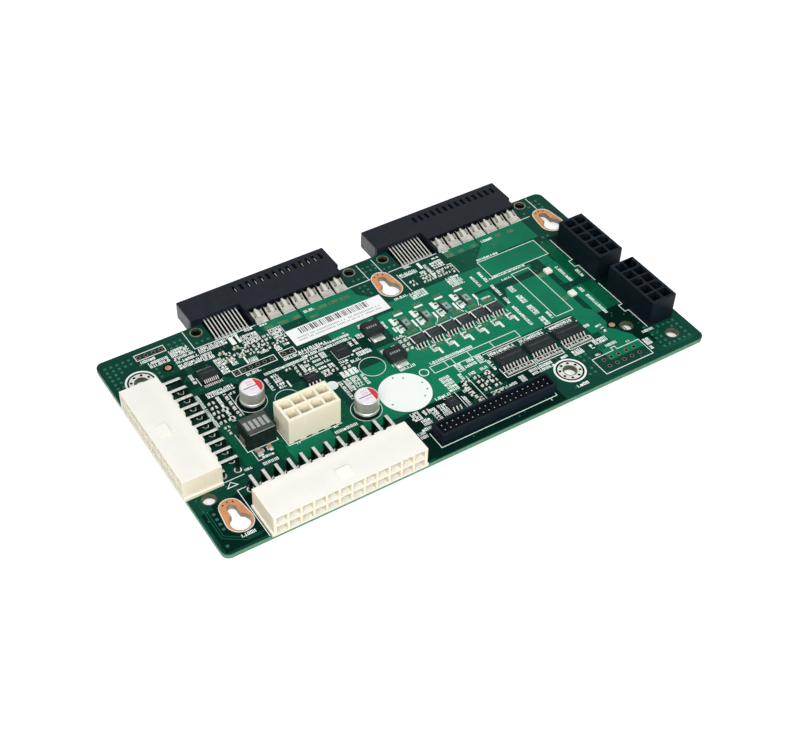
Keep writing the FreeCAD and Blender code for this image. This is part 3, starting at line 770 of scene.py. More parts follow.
class LandsOperator(Operator):
    """Add the bare lands, hole rims, lead pads, vias and empty header holes"""
    bl_idname = "backplane.lands"
    bl_label = "Lands, pads and vias"

    def execute(self, context):
        self.copper, self.rings, self.tin = Shapes(), Shapes(), Shapes()
        self.dark, self.mint, self.stain, self.peach = Shapes(), Shapes(), Shapes(), Shapes()
        self.dull, self.olive = Shapes(), Shapes()
        self.slots()
        self.screw_rings()
        self.small_holes()
        self.lead_pads()
        self.spots()
        self.stained_vias()
        self.scatter()
        self.copper.piece("copper_lands", "bare_copper")
        self.rings.piece("empty_lead_holes", "dull_copper")
        self.tin.piece("tinned_pads", "solder")
        # Dark marks, and painted shade in holes and round leads, share the shadow colour.
        self.dark.piece("open_holes", "shadow_hole")
        self.mint.piece("masked_spots", "mint_mask")
        self.stain.piece("stained_vias", "stained_mask")
        self.peach.piece("sighting_spots", "pale_copper")
        self.dull.piece("hole_rims", "dull_tin")
        # Olive tin: the hole linings carry it as painted shade.
        self.olive.piece("hole_walls", "olive_tin")
        return {"FINISHED"}

    def slots(self):
        """Copper land, tinned rim and dark dots round each hanging slot, with its wall lined in the darker tin
        of painted shade.
        """
        for x, y in KEYHOLES:
            inside = key_outline(x, y, 0.1)
            edge = cast(inside, (x, y), land_outline(x, y, 4.1, 3.4, 32))
            rim = cast(inside, (x, y), land_outline(x, y, 4.4, 3.7, 32))
            self.copper.band(inside, edge, *PAD)
            self.tin.band(edge, rim, *PRINT)
            self.dull.band(key_outline(x, y, -0.04), key_outline(x, y, 0.06), -THICK, 0.01)
            for turn in (50, 90, 130):
                dot = circle(x, y + LAND_BACK, 2.5, 1, turn, 1.0)[0]
                self.dark.disc(*dot, 0.28, *PRINT, 10)

    def screw_rings(self):
        """Tinned ring with eight dark dots round each screw hole, whose wall is lined in olive tin as painted
        shade.
        """
        for x, y in SCREWS:
            self.tin.ring(x, y, 2.4, 4.0, *PAD)
            self.olive.ring(x, y, 2.02, 2.44, -THICK, 0.02)
            self.dark.ring(x, y, 4.0, 4.6, *TRACK)
            for dot in circle(x, y, 3.25, 8, 22.5):
                self.dark.disc(*dot, 0.48, *PRINT, 10)

    def small_holes(self):
        """Lined plain holes, their olive linings painted as the shade inside, with dark discs low in the rear
        ones painted as the shade seen through them; sighting spots; and empty lead holes, whose dark centres
        are painted shade.
        """
        for i, (x, y) in enumerate(PLAIN_HOLES):
            rim, inner, outer = (self.dull, 1.72, 2.16) if i < REAR_HOLES else (self.olive, 1.93, 2.32)
            rim.ring(x, y, inner + 0.1, outer, *PAD)
            self.olive.ring(x, y, inner, 2.08, -THICK, 0.01)
            if i < REAR_HOLES:
                # Painted shade: a dark disc low in each rear hole.
                self.dark.disc(x, y, inner + 0.06, -THICK + 0.05, -0.95)
        for x, y in ((19.8, 76.8), (152.8, 20.0)):
            self.peach.disc(x, y, 1.05, *PAD)
            self.dark.ring(x, y, 1.05, 1.7, *TRACK)
        holes = [(13.6 + 2.6 * i, 85.8) for i in range(4)]
        holes += [(37.3 + 2.53 * i, 63.5) for i in range(6)]
        holes += [(54.5, 63.5), (57.2, 63.5)]
        holes += [(x, y) for x in (140.1, 143.1, 146.0, 149.1, 152.2) for y in (8.2, 5.2)]
        for x, y in holes:
            self.rings.ring(x, y, 0.5, 0.72, *PAD, 16)
            self.dark.disc(x, y, 0.52, *TRACK, 16)

    def lead_pads(self):
        """Tinned pads under the leads, blades, fingers and terminals, with dark slabs of painted shade round
        the package leads and the controller's pads.
        """
        for name in ("header_24", "header_20"):
            for x, y in tails(name + "_pins"):
                self.tin.ring(x, y, 0.78, 1.2, *PAD, 16)
        for name in SUPPLIES:
            for kind, side, back in (("_power", 0.1, 2.0), ("_signal", 0.2, 0.7)):
                for (x0, x1), (y0, _), _ in solids(name + kind):
                    self.tin.slab(x0 - side, y0 - 0.3, x1 + side, y0 + back, *PAD)
        for name in ("fet_leads", "driver_leads", "small_leads"):
            for (x0, x1), (y0, y1), _ in solids(name):
                # Painted shade round the leads.
                self.dark.slab(x0 - 0.4, y0 - 0.1, x1 + 0.4, y1 + 0.1, *TRACK)
                front = 0.8 if name == "fet_leads" else 0.25
                self.tin.slab(x0 - 0.02, y0 - front, x1 + 0.02, y0 + 0.3, *PAD)
                self.tin.slab(x0 + 0.02, y1 - 0.3, x1 - 0.02, y1 + 0.25, *PAD)
        # Painted shade round the controller's pads.
        self.dark.slab(25.9, 62.3, 32.4, 65.4, *TRACK)
        count, pitch = 10, 0.65
        for i in range(count):
            self.tin.slab(25.92 + pitch * i, 62.5, 26.24 + pitch * i, 63.6, *PAD)
        around = 0.3
        for name in ("diode_rear_terminals", "diode_front_terminals", "coil_terminals"):
            for (x0, x1), (y0, y1), _ in solids(name):
                self.tin.slab(x0 - around, y0 - around, x1 + around, y1 + around, *PAD)

    def spots(self):
        """Small masked squares along the edges and corners."""
        step, half, keep_off = 2.05, 0.45, 3.4
        places = [(2.2 + step * i, y) for i in range(5) for y in (86.4, 84.4)]
        places += [(x, 82.4 - step * i) for x in (2.2, 4.2) for i in range(4)] + [(6.3, 82.4), (12.8, 82.4)]
        places += [(24.6 + step * i, y) for i in range(3) for y in (86.4, 84.5)]
        places += [(32.7 + step * i, 82.4) for i in range(3)] + [(16.4, 78.2), (16.4, 76.2), (16.4, 74.2)]
        places += [(91.9 + step * i, 82.4) for i in range(3)] + [(104.2 + step * i, 82.4) for i in range(3)]
        places += [(x, y) for x in (92.0, 94.0) for y in (78.3, 76.2)] + [(94.0, 74.2)]
        places += [(x, y) for x in (98.0, 100.0, 102.0) for y in (86.4, 84.4)]
        places += [(x, y) for x in (169.3, 171.2) for y in (86.4, 84.3)]
        places += [(171.2, 82.4), (163.2, 82.4), (166.9, 84.5), (159.0, 66.2), (160.9, 68.2), (163.0, 68.2)]
        places += [(161 + step * i, 3.4 + step * j) for i in range(6) for j in range(6)]
        places += [(132.4, 5.4), (134.5, 5.4), (134.5, 7.4)]
        places += [(x, y) for y in (11.3, 13.4) for x in (134.6, 136.7)]
        places += [(4.4, y) for y in (9.2, 11.3, 13.3, 15.4)] + [(2.5, 3.2)]
        places = [place for place in places if math.dist(place, PLAIN_HOLES[-1]) > keep_off]
        for square in squares(places, half):
            self.mint.slab(*square, *PAD)

    def stained_vias(self):
        """Fields of small vias that show brown through the mask."""
        step_x, step_y = 0.62, 0.56
        fields = [
            (59.6, 75.9, 63.6, 78.1), (64.6, 75.8, 68.2, 78), (74.4, 76, 78.2, 78), (78.8, 76, 82.6, 78),
            (83.2, 75.9, 87.2, 78), (54.8, 76.1, 57.9, 78.3), (70.2, 73.6, 73.6, 75.2),
            (146.8, 37.6, 149.4, 39.8), (146.8, 51, 149.4, 53.4), (126, 75.9, 129.2, 79.2),
            (131, 76.2, 134, 78), (136, 76.2, 139, 78), (147, 76.4, 149.6, 78.4), (152, 76.4, 154.6, 78.4),
            (143.4, 73.4, 145.4, 75)]
        fields += [(93.4 + FET_STEP * i, 50.3, 97.2 + FET_STEP * i, 52) for i in range(FETS)]
        fields += [(93 + FET_STEP * i, 41, 95 + FET_STEP * i, 42.6) for i in range(FETS)]
        fields += [(94.4 + GATE_STEP * i, 61.2, 97.6 + GATE_STEP * i, 62.4) for i in range(GATES)]
        for x0, y0, x1, y1 in fields:
            for i in range(int((x1 - x0) / step_x)):
                for j in range(int((y1 - y0) / step_y)):
                    self.stain.disc(x0 + step_x * (i + 0.5), y0 + step_y * (j + 0.5), 0.25, *PAD, 8)

    def scatter(self):
        """Small vias over the board, clear of the parts, with dark centres painted as the shade in their
        holes.
        """
        chance = random.Random(sizes().seed)
        rectangles = taken()
        tries, inner, outer = 900, 0.14, 0.3
        for _ in range(tries):
            x, y = chance.uniform(2, LENGTH - 2), chance.uniform(2, DEPTH - 10)
            if clear(rectangles, x - outer, y - outer, x + outer, y + outer):
                self.mint.ring(x, y, inner, outer, *PAD, 8)
                self.dark.disc(x, y, inner, *TRACK, 8)


class PrintOperator(Operator):
    """Print the white outlines, rings, discs and tick marks"""
    bl_idname = "backplane.print"
    bl_label = "Board print"

    def execute(self, context):
        self.ink = Shapes()
        self.width = sizes().print_width / MM
        self.outlines()
        self.frames()
        self.rounds()
        self.marks()
        self.ink.piece("board_print", "board_print")
        return {"FINISHED"}

    def rule(self, *points):
        self.ink.line(list(points), self.width, *PRINT)

    def outlines(self):
        """Outlines of parts and lines between areas."""
        lines = [
            [(0.4, 24.6), (19.3, 24.6)], [(14.5, 0.3), (14.5, 20), (17.4, 20)],
            [(74.9, 10), (74.9, 3.3), (117.8, 3.3), (117.8, 4.6)], [(115.2, 2.2), (115.2, 3.3)],
            [(162.2, 38.9), (162.2, 26.4), (160.7, 26.4), (160.7, 23), (162.2, 23), (162.2, 13.4)],
            [(162.2, 65.8), (162.2, 53.2), (160.7, 53.2), (160.7, 49.8), (162.2, 49.8), (162.2, 40.6)],
            [(31, 80.2), (53, 80.2)], [(88.4, 80.2), (97.3, 80.2)], [(104.6, 80.2), (124, 80.2)],
            [(160, 80.2), (164, 80.2)], [(30.9, 80.2), (30.9, 89.6)], [(96.9, 80.2), (96.9, 89)],
            [(102.9, 81.6), (102.9, 89)], [(168.8, 82.4), (168.8, 89.5)], [(30.6, 46), (30.6, 56.4)],
            [(24.2, 40), (24.2, 31.6), (34.6, 31.6), (34.6, 34)], [(25.4, 31.4), (25.4, 27), (27, 27)],
            [(81.2, 54), (81.2, 61.6)], [(81.2, 40), (81.2, 46)], [(67.8, 56.8), (67.8, 51.8), (72, 51.8)],
            [(55, 75.8), (59.7, 75.8), (59.7, 70)], [(91.2, 13.4), (91.2, 21)], [(98.4, 12.6), (98.4, 25)],
            [(106.2, 68), (106.2, 77.6)], [(125.3, 67.6), (125.3, 73.2), (123.6, 73.2)],
            [(108.4, 30.1), (132, 30.1)], [(133, 30.1), (144, 30.1)], [(25.2, 64), (25.2, 68)],
            [(109.2, 17.4), (109.2, 22)],
            [(13.8, 22), (15.8, 22), (14.2, 23.8), (12.4, 22), (13.8, 22)]]
        lines += [[(92.1 + FET_STEP * k, 49.4), (92.1 + FET_STEP * k, 50.6)] for k in range(FETS + 1)]
        lines += [[(92.1 + FET_STEP * k, 42.8), (92.1 + FET_STEP * k, 44.2)] for k in range(FETS + 1)]
        lines += [
            [(98.3, 52.4), (98.4, 50.3)], [(106.1, 52.4), (104.6, 50.4)], [(114.5, 52.4), (115.2, 50.4)],
            [(122.5, 53.2), (121.2, 50.4)]]
        (x0, x1), (front, back), _ = span("header_8_housing")
        lines.append([(x0 - 0.25, back), (x0 - 0.25, front - 0.3), (x1 + 0.25, front - 0.3)])
        for points in lines:
            self.rule(*points)

    def frames(self):
        """Closed frames, the marks beside the gate parts and the outline of the empty header."""
        frames = [(139.7, 32.7, 146.7, 57.7), (133.3, 60.1, 157.1, 68.7), (90.8, 31, 124, 34.1),
                  (109.3, 17.5, 120.5, 19.9), (121.2, 17.5, 131.5, 19.9), (133.9, 17.5, 143.4, 19.7),
                  (12.5, 84.5, 22.8, 87.3), (36.2, 62.1, 51.3, 64.9), (53.1, 62.1, 58.4, 64.9)]
        for x0, y0, x1, y1 in frames:
            self.rule((x0, y0), (x1, y0), (x1, y1), (x0, y1), (x0, y0 - self.width / 2))
        marks = [(0, 0, 1.3, 3.5), (1.3, 0.7, 2.4, 1.25), (1.3, 2.05, 2.4, 2.55), (2.0, 1.25, 2.4, 2.05)]
        for k in range(GATES):
            x = 91.5 + GATE_STEP * k
            for y in (52.0, 56.3):
                for left, front, right, back in marks:
                    self.ink.slab(x + left, y + front, x + right, y + back, *PRINT)
        for x in (96.2, 98.8, 105, 113.8):
            self.rule((x, 31), (x, 34.1))
        self.rule((38.5, 62.1), (38.5, 64.9))
        self.rule((145.5, 10.2), (136.9, 10.2), (136.9, 2.7), (155.7, 2.7), (155.7, 10.2), (147, 10.2),
                  (147, 11.6), (145.5, 11.6), (145.5, 10.2))

    def rounds(self):
        """Rings, discs and a row of dots, and the vias that show through the large disc."""
        half = self.width * 0.38
        for x, y, radius in ((35.4, 50.0, 4.9), (63.9, 28.6, 4.9), (45.6, 45.2, 4.0), (75.5, 43.8, 4.3)):
            self.ink.ring(x, y, radius - half, radius + half, *PRINT, 40)
        self.ink.ring(88.0, 33.0, 1.35, 1.65, *PRINT, 24)
        for x, y in SCREWS:
            self.ink.ring(x, y, 4.6, 5.25, *PRINT, 40)
        self.ink.disc(78.2, 28.7, 8.5, *PRINT, 64)
        self.ink.disc(60.3, 43, 1.9, *PRINT, 24)
        self.ink.disc(72.9, 51.8, 0.45, *PRINT, 12)
        for i in range(24):
            self.ink.disc(109.6 + 1.5 * i, 27.6, 0.24, *PRINT, 8)
        dots = Shapes()
        for x, y in ((82.6, 24.2), (84.9, 26.4), (85.1, 29.7), (81, 34.3), (78.2, 36.0), (71.9, 26.1)):
            dots.disc(x, y, 0.34, PRINT[1] - SINK / 2, PRINT[1] + SINK, 12)
        dots.piece("disc_vias", "dull_tin")

    def ticks(self, chance, x0, y0, x1, y1):
        """Rows of plain marks, upright in a wide block and level in a narrow one."""
        row, column, tallest = 1.35, 1.02, 1.15
        level = x1 - x0 < 2.6 and y1 - y0 > x1 - x0
        near, far, low, high = (y0, y1, x0, x1) if level else (x0, x1, y0, y1)
        rows = max(1, round((high - low) / row))
        tall = min(tallest, (high - low) / rows * 0.86)
        columns = max(1, round((far - near) / column))
        step = (far - near) / columns
        for k in range(rows):
            start = low + (high - low) * (k + 0.5) / rows - tall / 2
            for i in range(columns):
                kind = chance.choice(("box", "box", "bars", "bars", "bar", "block", "foot"))
                self.mark(kind, level, near + step * i, start, step * 0.8, tall)

    def mark(self, kind, level, along, across, wide, tall):
        """One plain mark: a hollow box, two bars, a bar and a dot, a block, or a bar on a foot."""
        thin = min(0.27, wide / 3)
        shapes = {
            "box": [(0, 0, wide, thin), (0, tall - thin, wide, tall), (0, thin, thin, tall - thin),
                    (wide - thin, thin, wide, tall - thin)],
            "bars": [(0, 0, thin, tall), (wide - thin, 0, wide, tall)],
            "bar": [(0, 0, thin, tall), (wide - thin, 0, wide, thin * 1.4)],
            "block": [(0, 0, wide, tall * 0.8)],
            "foot": [(0, 0, wide, thin), (wide / 2 - thin / 2, thin, wide / 2 + thin / 2, tall)]}
        for a0, b0, a1, b1 in shapes[kind]:
            self.ink.bar(level, along + a0, across + b0, along + a1, across + b1, *PRINT)

    def marks(self):
        """Blocks of plain marks between the parts, and single bars."""
        chance = random.Random(sizes().seed)
        rear_left = [
            (13.2, 82.5, 18.4, 84), (15, 79.2, 22, 82.2), (22.9, 80.2, 29.6, 83.7),
            (23.2, 78.7, 30.5, 79.9), (23, 76.6, 31, 78.2), (22.8, 74, 31.4, 76.2),
            (31.4, 77.2, 41.5, 79.8), (31.2, 73.4, 35, 76.8), (45.8, 73.2, 51.8, 78),
            (33.4, 64.9, 36.2, 72.6), (23.1, 65.8, 24.9, 70.4), (24.4, 57.8, 34, 60.2),
            (26.2, 45.2, 27.6, 57.4), (20.8, 45.4, 22.2, 61), (43, 50.6, 44.3, 56.6), (45.6, 50, 48.2, 57),
            (44.4, 57.5, 60, 59), (55.7, 50.4, 57, 57), (39.5, 60.3, 44.8, 61.7), (53, 60.3, 59.6, 61.7),
            (37.8, 67, 40, 70.2), (43.2, 65.3, 46.4, 67.4), (48.2, 67, 51.2, 68.4), (53, 65.6, 55.2, 68),
            (56.4, 66.6, 58.6, 68), (56, 70.2, 59.4, 73.6), (54.9, 73.3, 59.5, 75.6),
            (54, 78.7, 56.8, 79.6), (41.8, 79, 46, 80), (48.6, 79, 51.6, 80)]
        centre = [
            (58.6, 59.9, 67, 62.3), (58.6, 58.3, 77, 59.7), (67.4, 60.1, 77, 61.2), (63.7, 55.2, 65.8, 58),
            (63.7, 53, 65.8, 54.3), (63.7, 50, 65.8, 52.2), (57.2, 50.6, 59.8, 53.4),
            (57.2, 54.2, 59, 55.6), (74.4, 55.2, 75.8, 57.8), (76.4, 55.2, 77.4, 58.2),
            (78.3, 57, 80.9, 59.2), (73.8, 52.6, 77.2, 53.6), (74.2, 49.9, 79.4, 52),
            (67.4, 50, 70.6, 51.2), (70.8, 48.4, 74.4, 49.8), (88.6, 56.6, 89.7, 60.4),
            (88.2, 50.2, 91.6, 51.8), (104.3, 63.8, 110.4, 67.4), (98.8, 66.6, 104, 67.8),
            (110.2, 78.7, 113, 80), (106.7, 75.2, 113.4, 77.3), (69.8, 76.7, 73.8, 78.3),
            (62.2, 34.6, 63.7, 43.6), (64, 37.6, 66.2, 43.4), (66.6, 38, 69.4, 43.2),
            (69.8, 37.8, 71.6, 42.8), (65, 43.8, 71, 46.8), (82, 37, 87.8, 38.4), (84.4, 20.4, 90, 21.8),
            (91.8, 34.5, 108, 36), (90.3, 21.3, 94, 28.4)]
        front = [
            (74, 16.2, 77, 20), (75.5, 13.2, 78.6, 16), (71.6, 8.9, 74.2, 12), (73.6, 11.2, 77.2, 13),
            (80.1, 13.3, 82.3, 18.8), (83.2, 13.5, 86, 18.8), (91.5, 13.4, 93.5, 18.4),
            (97.6, 27.3, 100.1, 31), (100.4, 27.5, 105, 29.3), (102.3, 29.4, 105, 30.9),
            (105.5, 27.2, 107.9, 30.8), (96, 24, 98, 27), (99.7, 24, 102.2, 26), (104, 24, 106.7, 26),
            (101.9, 13.4, 106, 15.3), (106.7, 13.4, 110.6, 15.3), (112.1, 13.4, 114.2, 16.3),
            (116.8, 14, 125.6, 17), (107.6, 22.4, 109, 28), (93.8, 18.8, 96, 20.4),
            (109.8, 28.2, 120, 29.8), (122, 28.2, 131.6, 29.8), (134, 28.2, 143, 29.8),
            (144.4, 23.3, 146.6, 24.7), (129, 15.3, 131.6, 16.8), (133.5, 14.3, 137.5, 17),
            (140, 14.2, 141.5, 16.4), (142.2, 15, 147.5, 17.3), (144.6, 12.3, 149, 13.8),
            (139.2, 10.8, 141, 11.7), (151.6, 10.8, 153, 11.7), (156.4, 6.5, 158.8, 9.6),
            (156.4, 4.3, 157.5, 6), (159, 11.5, 163.4, 12.7), (125.6, 2.3, 130, 3.7), (7.6, 3.5, 12.2, 5)]
        right = [
            (118.9, 62.4, 124.2, 67.6), (126.6, 57.8, 127.8, 64), (123.6, 52, 127.2, 52.9),
            (131.8, 59, 146.6, 59.9), (135.2, 56.4, 139, 57.4), (118.9, 73.6, 123.6, 77.2),
            (116.3, 69.4, 117.7, 77.4), (113.5, 72.6, 115.6, 75), (121, 78.1, 123.8, 79),
            (126, 79, 128.6, 79.8), (133.8, 69.2, 142.6, 70.2), (141, 76.5, 145.6, 78.2),
            (129.6, 33.6, 131.6, 44.4), (129.6, 46, 131.6, 49.4), (129.6, 50.6, 131.6, 56.8),
            (129.6, 58.6, 131.6, 64.6), (134.2, 31, 136.4, 35.4), (134.2, 37, 136.4, 42),
            (134.2, 43.6, 136.4, 48), (134.2, 49.8, 136.4, 53), (137.8, 32.8, 139, 36.4),
            (154.2, 25.6, 156.2, 36.4), (154.2, 38, 156.2, 41), (154.2, 44.4, 156.2, 53.4),
            (159.2, 44.4, 161, 48.6), (147.6, 21.6, 150, 22.6)]
        left_front = [
            (25.9, 24.2, 31.2, 26), (27, 27, 31, 28), (50.6, 24.3, 58.6, 25.7), (20, 25.3, 22.6, 26.3),
            (38.6, 26.8, 40, 27.6), (51.4, 26.8, 53, 27.6)]
        blocks = rear_left + centre + front + right + left_front
        blocks += [(60.3, 47.4 + 1.84 * k, 63.3, 48.5 + 1.84 * k) for k in range(6)]
        blocks += [(95.9 + FET_STEP * k, 39.2, 98.2 + FET_STEP * k, 42.4) for k in range(FETS)]
        for block in blocks:
            self.ticks(chance, *block)
        bars = [
            (48.8, 49.2, 49.4, 52.2), (90.5, 53.4, 91.2, 55.8), (115, 76, 116, 79.2),
            (42.2, 75.5, 43.8, 79.1), (44.7, 75.5, 45.6, 79.1), (42.3, 65.4, 42.9, 70.8)]
        bars += [(94.2 + GATE_STEP * k, 60, 97.4 + GATE_STEP * k, 60.8) for k in range(GATES)]
        bars += [(97.9 + FET_STEP * k, 37.4, 98.7 + FET_STEP * k, 40.4) for k in range(FETS)]
        bars += [
            (97.8, 52.3, 98.6, 55.8), (105.8, 52.3, 106.6, 55.4), (114, 52.3, 114.8, 55.8),
            (122.2, 53, 123, 56)]
        bars += [(x, 43.9, x + 0.8, 46.7) for x in (65.1, 66.7, 68.2, 69.6)]
        for box in bars:
            self.ink.slab(*box, *PRINT)


class HeadersOperator(Operator):
    """Finish the power headers, the fine header and their pins"""
    bl_idname = "backplane.headers"
    bl_label = "Headers"

    def execute(self, context):
        edge = sizes().housing_edge
        dress([n + "_housing" for n in HEADERS[:2]], "ivory_nylon", edge)
        dress(["header_8_housing"], "cream_nylon", edge)
        dress([n + "_housing" for n in HEADERS[3:]], "black_nylon", edge)
        dress(["header_40_shroud"], "shroud_nylon", edge)
        dress([n + "_pins" for n in HEADERS], "lead_tin", edge / 2, 1)
        dress(["header_40_pins"], "shaded_tin")
        self.fine_tips()
        self.teeth()
        self.vents()
        return {"FINISHED"}

    def fine_tips(self):
        """Painted highlight on the ends of the fine pins."""
        tips = Shapes()
        for (x0, x1), (y0, y1), (_, high) in solids("header_40_pins"):
            tips.slab(x0 + 0.11, y0 + 0.11, x1 - 0.11, y1 - 0.11, high - 0.05, high + 0.04)
        tips.piece("fine_pin_tips", "bright_tin")

    def teeth(self):
        """Moulded teeth along the back of the lying headers, one between each two pins."""
        teeth = Shapes()
        gap, reach, low, drop = 0.8, 0.5, 3.0, 0.75
        for name, along in (("header_24", 0), ("header_20", 1)):
            box = span(name + "_housing")
            back, top = box[1 - along][1], box[2][1]
            places = sorted({round(place[along], 2) for place in tails(name + "_pins")})
            for near, far in zip(places, places[1:]):
                teeth.bar(along, near + gap, back - 0.1, far - gap, back + reach, low, top - drop)
        teeth.piece("header_teeth", "ivory_nylon")

    def vents(self):
        """Painted shade: dark slabs on the front face of the small upright header where its vents show dark.
        """
        (x0, _), (front, _), _ = span("header_8_housing")
        vents = Shapes()
        first, pitch, count = 2.7, 4.2, 4
        for i in range(count):
            x = x0 + first + pitch * i
            vents.slab(x - 1.0, front - 0.02, x + 1.0, front + 0.2, 0.02, 0.5)
        vents.piece("header_vents", "shadow_hole")


class SuppliesOperator(Operator):
    """Finish the supply connectors, their fingers and blades"""
    bl_idname = "backplane.supplies"
    bl_label = "Supply connectors"

    def execute(self, context):
        edge = sizes().housing_edge
        dress([n + "_housing" for n in SUPPLIES], "navy_nylon", edge)
        dress([n + "_power" for n in SUPPLIES], "tinned_brass", edge / 2, 1)
        dress([n + "_signal" for n in SUPPLIES], "lead_tin")
        nubs, highlights, shade_strips = Shapes(), Shapes(), Shapes()
        shade_slabs, springs, ends = Shapes(), Shapes(), Shapes()
        for name in SUPPLIES:
            for group in islands(name + "_power"):
                self.blade(group, nubs, highlights, shade_strips, shade_slabs)
            self.bed(name, shade_slabs)
            self.vents(name, shade_slabs)
            self.end_face(name, ends)
        self.springs(SUPPLIES[0], springs)
        ends.piece("housing_ends", "worn_nylon")
        nubs.piece("blade_nubs", "shadow_hole")
        highlights.piece("blade_webs", "bright_tin")
        shade_strips.piece("blade_folds", "dull_tin")
        shade_slabs.piece("dark_beds", "shadow_hole")
        springs.piece("vent_springs", "bright_tin")
        return {"FINISHED"}

    def blade(self, group, nubs, highlights, shade_strips, shade_slabs):
        """Painted highlight strip down the middle of a blade and across its foot, strips of painted shade
        beside it, dark nubs at its upper end for the housing's lugs in the shadow colour as painted shade, and
        a slab of painted shade under it.
        """
        (x0, x1), (y0, y1), (_, top) = extent(group)
        middle = (x0 + x1) / 2
        foot = 0.5
        knee = max(p[1] for p in group if p[2] < foot + 0.1)
        slope = (top - foot) / (y1 - knee)
        low, high = knee + 0.25, y1 - 0.1
        rise = foot + slope * (low - knee)
        strip_bottom = [(low, rise - 0.1), (high, top - 0.15)]
        highlights.ramp(strip_bottom + [(high, top + 0.02), (low, rise + 0.03)], middle - 0.35, middle + 0.85)
        for near, far in ((x0 + 0.65, middle - 0.4), (middle + 0.95, x1 - 0.35)):
            shade_strips.ramp(strip_bottom + [(high, top + 0.015), (low, rise + 0.025)], near, far)
        # Painted highlight across the foot of the blade.
        highlights.slab(x0 + 0.1, y0 + 1.15, x1 - 0.1, y0 + 1.35, 0.45, 0.53)
        shade_slabs.slab(x0 - 0.6, y0 - 0.1, x1 + 0.6, y1, *TRACK)
        for x in (x0 + 0.85, x1 - 0.75):
            nubs.prism(circle(x, y1 - 0.1, 0.85, 10, 180.0, 180.0), 0.9, top + 0.45)
            stub = [(low, rise - 0.1), (low + 1.0, rise + slope - 0.1), (low + 1.0, rise + slope + 0.03),
                    (low, rise + 0.03)]
            nubs.ramp(stub, x - 0.14, x + 0.14)

    def bed(self, name, shade_slabs):
        """Painted shade under the signal fingers."""
        (x0, x1), (y0, y1), _ = extent([p for group in islands(name + "_signal") for p in group])
        shade_slabs.slab(x0 - 0.6, y0 + 0.2, x1 + 1.9, y1 - 0.05, *TRACK)

    def end_face(self, name, ends):
        """Painted sheen: a paler slab on a housing's left end face."""
        (x0, _), (_, y1), (low, top) = span(name + "_housing")
        ends.slab(x0 - 0.01, y1 - 9.4, x0 + 0.05, y1 - 0.5, low + 0.4, top - 0.4)

    def vent_places(self, name):
        """Middle of each vent of a housing: its place in x, its front end and the housing's top."""
        (x0, _), (_, y1), (_, top) = span(name + "_housing")
        first, step, count, back = 19.8, 2.56, 14, 5.2
        return [(x0 + first + step * i, y1 - back, top) for i in range(count)]

    def vents(self, name, shade_slabs):
        """Painted shade: dark slabs low in the vents."""
        for x, front, top in self.vent_places(name):
            shade_slabs.slab(x - 0.54, front + 0.02, x + 0.54, front + 3.08, top - 1.02, top - 0.55)

    def springs(self, name, springs):
        """Painted glints: bright slabs for the contacts that catch the light in most of the vents."""
        hidden = (1, 5, 9, 13)
        for i, (x, front, top) in enumerate(self.vent_places(name)):
            if i not in hidden:
                springs.slab(x + 0.2, front + 0.1, x + 0.36, front + 1.9, top - 0.6, top - 0.3)


